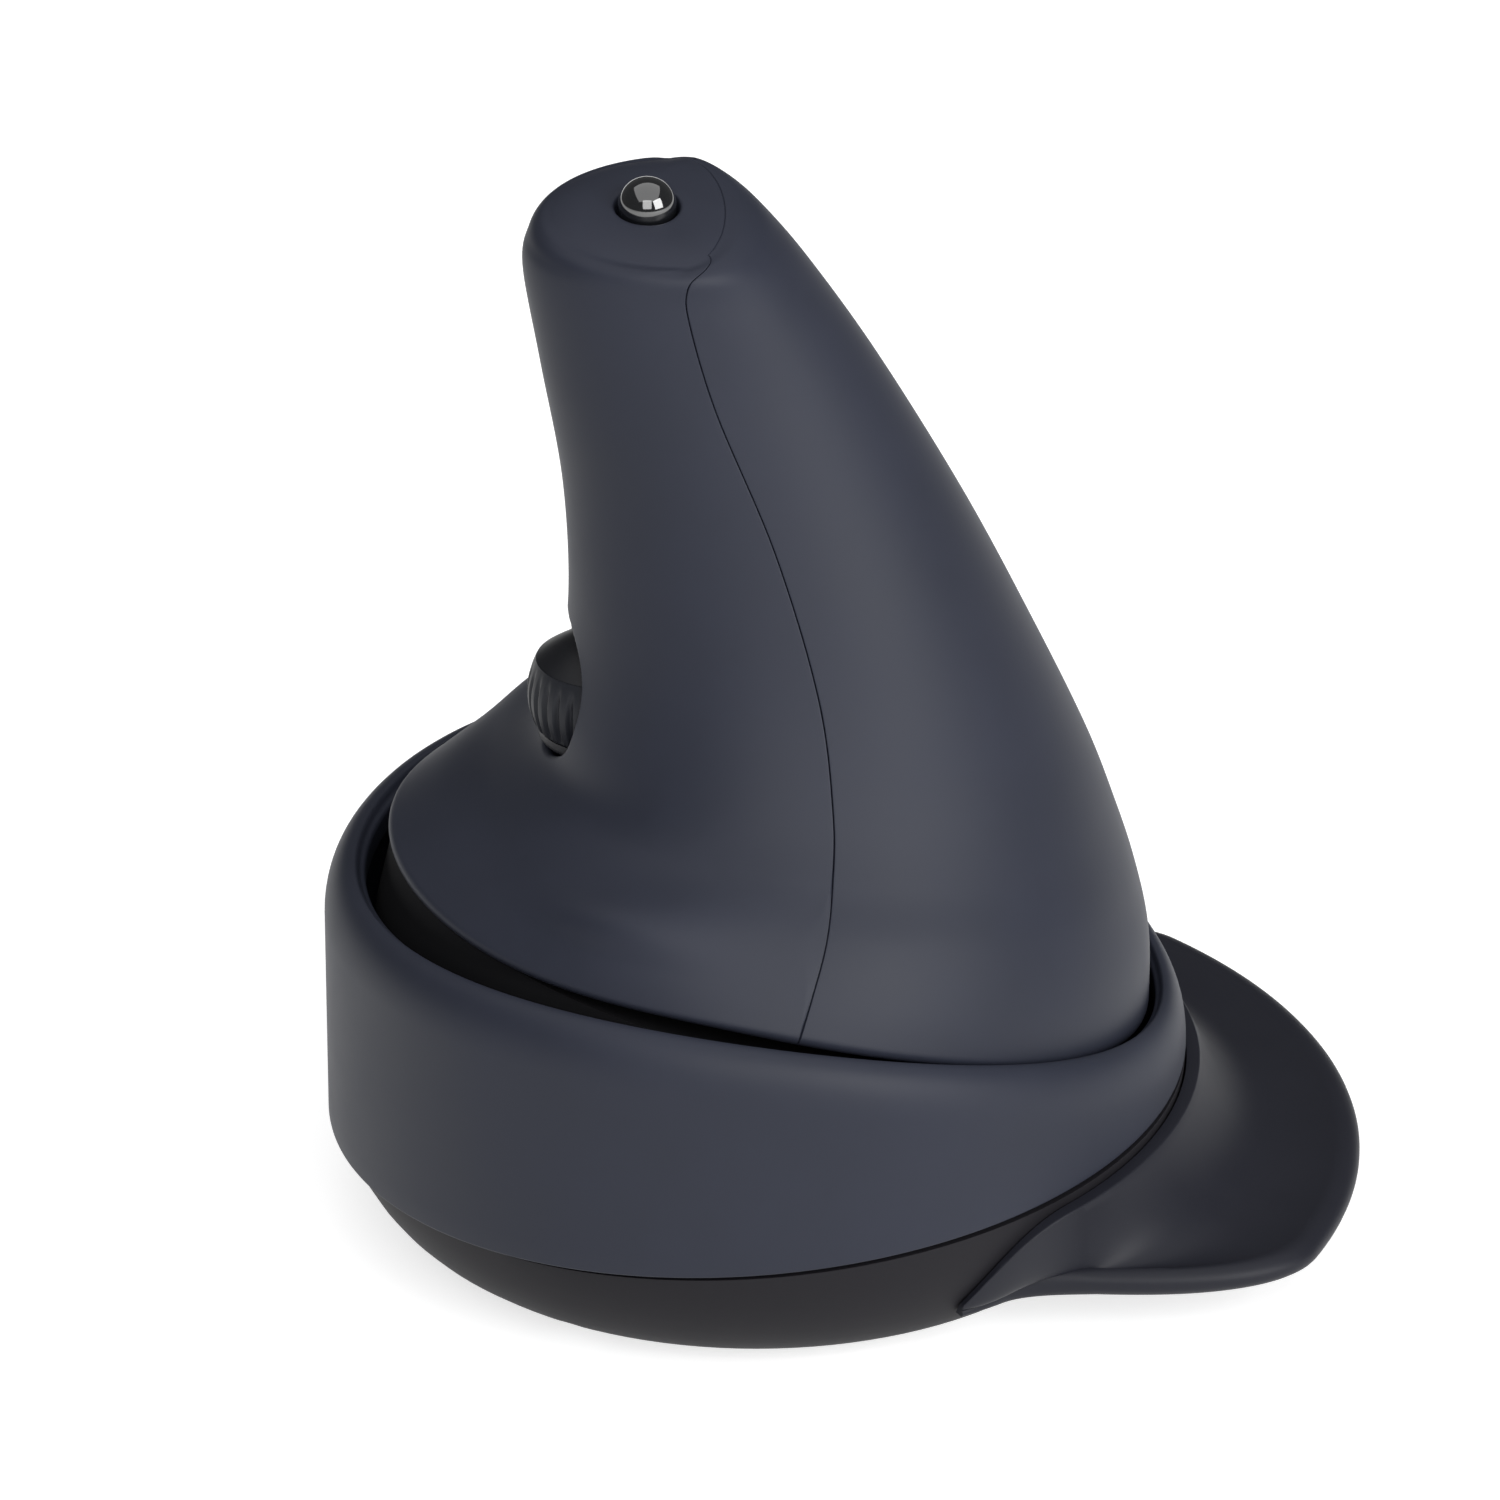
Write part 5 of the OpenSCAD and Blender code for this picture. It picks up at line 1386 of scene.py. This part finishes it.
@dataclass
class FittedPart:
    """A node of the frame with its edges broken, as a moulded or machined part has them.

    Attributes:
        node: Name of the node.
        bevel: Width of the broken edges, or nothing.
        sharp_deg: Edges that turn more than this stay sharp.
        flat_deg: Faces that turn less than this become one.
        bevel_steps: Steps of each broken edge.
    """

    node: str
    bevel: float = 0.12
    sharp_deg: float = 30.0
    flat_deg: float = 0.4
    bevel_steps: int = 2

    def build(self, wardrobe: Wardrobe, slot: str, body: str) -> None:
        """Builds and dresses the part.

        Args:
            wardrobe: Finishes.
            slot: Material slot of the record.
            body: Body that the node belongs to.
        """
        work = bmesh.new()
        work.from_mesh(frame["nodes"][self.node].data)
        bmesh.ops.remove_doubles(work, verts=work.verts, dist=MERGE_M)
        flat = math.radians(self.flat_deg)
        bmesh.ops.dissolve_limit(work, angle_limit=flat, verts=work.verts, edges=work.edges)
        mesh = bpy.data.meshes.new(self.node + "_piece")
        work.to_mesh(mesh)
        work.free()
        piece = bpy.data.objects.new(self.node + "_piece", mesh)
        bpy.context.scene.collection.objects.link(piece)
        smooth(mesh, self.sharp_deg)
        if self.bevel > 0:
            edge = piece.modifiers.new("broken_edges", "BEVEL")
            edge.width = self.bevel * MM
            edge.segments = self.bevel_steps
            edge.limit_method = "ANGLE"
            edge.angle_limit = math.radians(self.sharp_deg)
            edge.harden_normals = True
        wardrobe.place(piece, slot, body, self.node)


@dataclass(frozen=True)
class SoftBox:
    """A square soft box that faces the target.

    Attributes:
        name: Name of the lamp.
        azimuth: Direction in degrees, 0 is the user's side.
        elevation: Height in degrees.
        distance: Distance in metres.
        side: Side of the square in metres.
        power: Power in watts.
    """

    name: str
    azimuth: float
    elevation: float
    distance: float
    side: float
    power: float


# The key gives the palm side its soft sheen, the others open up the front and the top
SOFT_BOXES = (
    SoftBox("key_box", azimuth=44, elevation=24, distance=2.0, side=1.2, power=29.0),
    SoftBox("front_box", azimuth=-4, elevation=28, distance=2.0, side=1.2, power=15.0),
    SoftBox("top_box", azimuth=0, elevation=82, distance=1.4, side=2.4, power=19.0),
)


@dataclass
class Studio:
    """Floor, lamps and camera.

    Attributes:
        target: Point that the camera looks at, around the base centre.
        azimuth: Direction of the camera in degrees.
        elevation: Height of the camera in degrees.
        distance: Distance of the camera.
        px_per_mm: Scale of the photograph at the target.
        paper: Colour of the paper floor.
        paper_lift: Brightness that the paper is lifted by for the eye.
        floor_half: Half side of the floor in metres.
        tent: Colour of the surrounding light.
        tent_level: Level of the surrounding light.
        clip: Nearest and farthest distance that the camera sees, in metres.
    """

    target: tuple[float, float, float] = (-0.66, 0.0, 50.28)
    azimuth: float = -4.5
    elevation: float = 26.0
    distance: float = 1000.0
    px_per_mm: float = 10.0
    paper: str = "#d0d0d0"
    paper_lift: float = 0.7
    floor_half: float = 4.0
    tent: str = "#f7f8fa"
    tent_level: float = 0.1
    clip: tuple[float, float] = (0.05, 20.0)

    def away(self, azimuth: float, elevation: float) -> Vector:
        """Unit vector from the target towards a viewer, where azimuth 0 is the user's side."""
        a, e = math.radians(azimuth), math.radians(elevation)
        return Vector((math.sin(a) * math.cos(e), -math.cos(a) * math.cos(e), math.sin(e)))

    def centre(self) -> Vector:
        """Place of the target in the frame, in metres."""
        return (Vector(self.target) + Vector((BASE_X, 0.0, 0.0))) * MM

    def camera(self) -> None:
        """Sets the camera at the photograph's angle."""
        data = bpy.data.cameras.new("photo_camera")
        data.sensor_fit = "HORIZONTAL"
        data.lens = data.sensor_width * self.distance * self.px_per_mm / PHOTO_SIDE_PX
        data.clip_start, data.clip_end = self.clip
        camera = bpy.data.objects.new("photo_camera", data)
        bpy.context.scene.collection.objects.link(camera)
        back = self.away(self.azimuth, self.elevation)
        camera.location = self.centre() + back * self.distance * MM
        camera.rotation_euler = (-back).to_track_quat("-Z", "Y").to_euler()
        bpy.context.scene.camera = camera

    def lamp(self, box: SoftBox) -> None:
        """Adds a soft box that faces the target.

        Args:
            box: The soft box.
        """
        data = bpy.data.lights.new(box.name, "AREA")
        data.shape = "SQUARE"
        data.size = box.side
        data.energy = box.power
        lamp = bpy.data.objects.new(box.name, data)
        bpy.context.scene.collection.objects.link(lamp)
        back = self.away(box.azimuth, box.elevation)
        lamp.location = self.centre() + back * box.distance
        lamp.rotation_euler = (-back).to_track_quat("-Z", "Y").to_euler()

    def floor(self) -> None:
        """Lays the pale floor."""
        half = self.floor_half
        corners = [(-half, -half, 0), (half, -half, 0), (half, half, 0), (-half, half, 0)]
        mesh = bpy.data.meshes.new("floor")
        mesh.from_pydata(corners, [], [(0, 1, 2, 3)])
        floor = bpy.data.objects.new("floor", mesh)
        bpy.context.scene.collection.objects.link(floor)
        mesh.materials.append(self.paper_material())

    def paper_material(self) -> bpy.types.Material:
        """White paper: diffuse for the light, lifted to plain white for the eye and for mirrors.

        Returns:
            The material.
        """
        mat = bpy.data.materials.new("white_paper")
        mat.use_nodes = True
        tree = mat.node_tree
        tree.nodes.clear()
        path = add_node(tree, "ShaderNodeLightPath").outputs
        seen = add_node(tree, "ShaderNodeMath", {
            0: path["Is Camera Ray"], 1: path["Is Glossy Ray"]}, operation="ADD")
        seen = add_node(tree, "ShaderNodeMath", {
            0: seen.outputs[0], 1: path["Is Transmission Ray"]}, operation="ADD")
        lift = add_node(tree, "ShaderNodeMath", {
            0: seen.outputs[0], 1: self.paper_lift}, operation="MULTIPLY")
        glow = add_node(tree, "ShaderNodeEmission", {
            "Color": linear("#ffffff"), "Strength": lift.outputs[0]})
        matte = add_node(tree, "ShaderNodeBsdfDiffuse", {"Color": linear(self.paper)})
        both = add_node(tree, "ShaderNodeAddShader", {0: matte.outputs[0], 1: glow.outputs[0]})
        add_node(tree, "ShaderNodeOutputMaterial", {"Surface": both.outputs[0]})
        return mat

    def world(self) -> None:
        """Surrounds the scene with even dim light."""
        world = bpy.data.worlds.new("light_tent")
        bpy.context.scene.world = world
        world.use_nodes = True
        tent = world.node_tree.nodes["Background"]
        tent.inputs["Color"].default_value = linear(self.tent)
        tent.inputs["Strength"].default_value = self.tent_level

    def build(self) -> None:
        """Builds the whole studio."""
        self.camera()
        self.world()
        self.floor()
        for box in SOFT_BOXES:
            self.lamp(box)
        bpy.context.scene.view_settings.view_transform = "Standard"


def main() -> None:
    """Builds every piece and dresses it."""
    logging.basicConfig(level=logging.INFO, format="%(name)s: %(message)s")
    Studio().build()
    wardrobe = Wardrobe()
    tyre_low, tyre_high = node_box("wheel_tyre")
    hub_low, hub_high = node_box("wheel_hub")
    shell_top = node_box("front_shell")[1][2]
    button_low, button_high = node_box("top_button")
    wheel_x = (tyre_low[0] + tyre_high[0]) / 2 - BASE_X
    wheel_z = (tyre_low[2] + tyre_high[2]) / 2
    button_x = (button_low[0] + button_high[0]) / 2 - BASE_X
    # Depth of the dome's centre below the drawn facet, and the gap around the button
    drawn_drop, hole_gap = 0.8, 0.3
    # The window's middle against the wheel's, and the rounded facet against the drawn one
    window_rise, crown_rise = 0.3, -0.6
    dome_r = button_high[2] - shell_top + drawn_drop
    form = HandleForm(shell_top + crown_rise)
    window = WheelWindow(wheel_x, wheel_z + window_rise)
    Handle(form, window, button_x, dome_r + hole_gap).build(wardrobe)
    ring = BaseRing()
    ring.build(wardrobe)
    PalmRest(ring).build(wardrobe)
    ThumbWheel(wheel_x, wheel_z, (tyre_high[0] - tyre_low[0]) / 2, tyre_high[2] - tyre_low[2],
               hub_low[2], hub_high[2]).build(wardrobe)
    TopButton(button_x, form.top_z, button_low[2], dome_r).build(wardrobe)
    made = {"front_shell", "rear_shell", "base_ring", "palm_rest", "wheel_tyre", "wheel_hub", "top_button"}
    slots = {row["node"]: row["material_slot"] for row in frame["record"]["subparts"]}
    for body, nodes in frame["record"]["behaviour"]["bodies"].items():
        for node in nodes:
            if node not in made:
                FittedPart(node).build(wardrobe, slots[node], body)


if __name__ == "__main__":
    main()
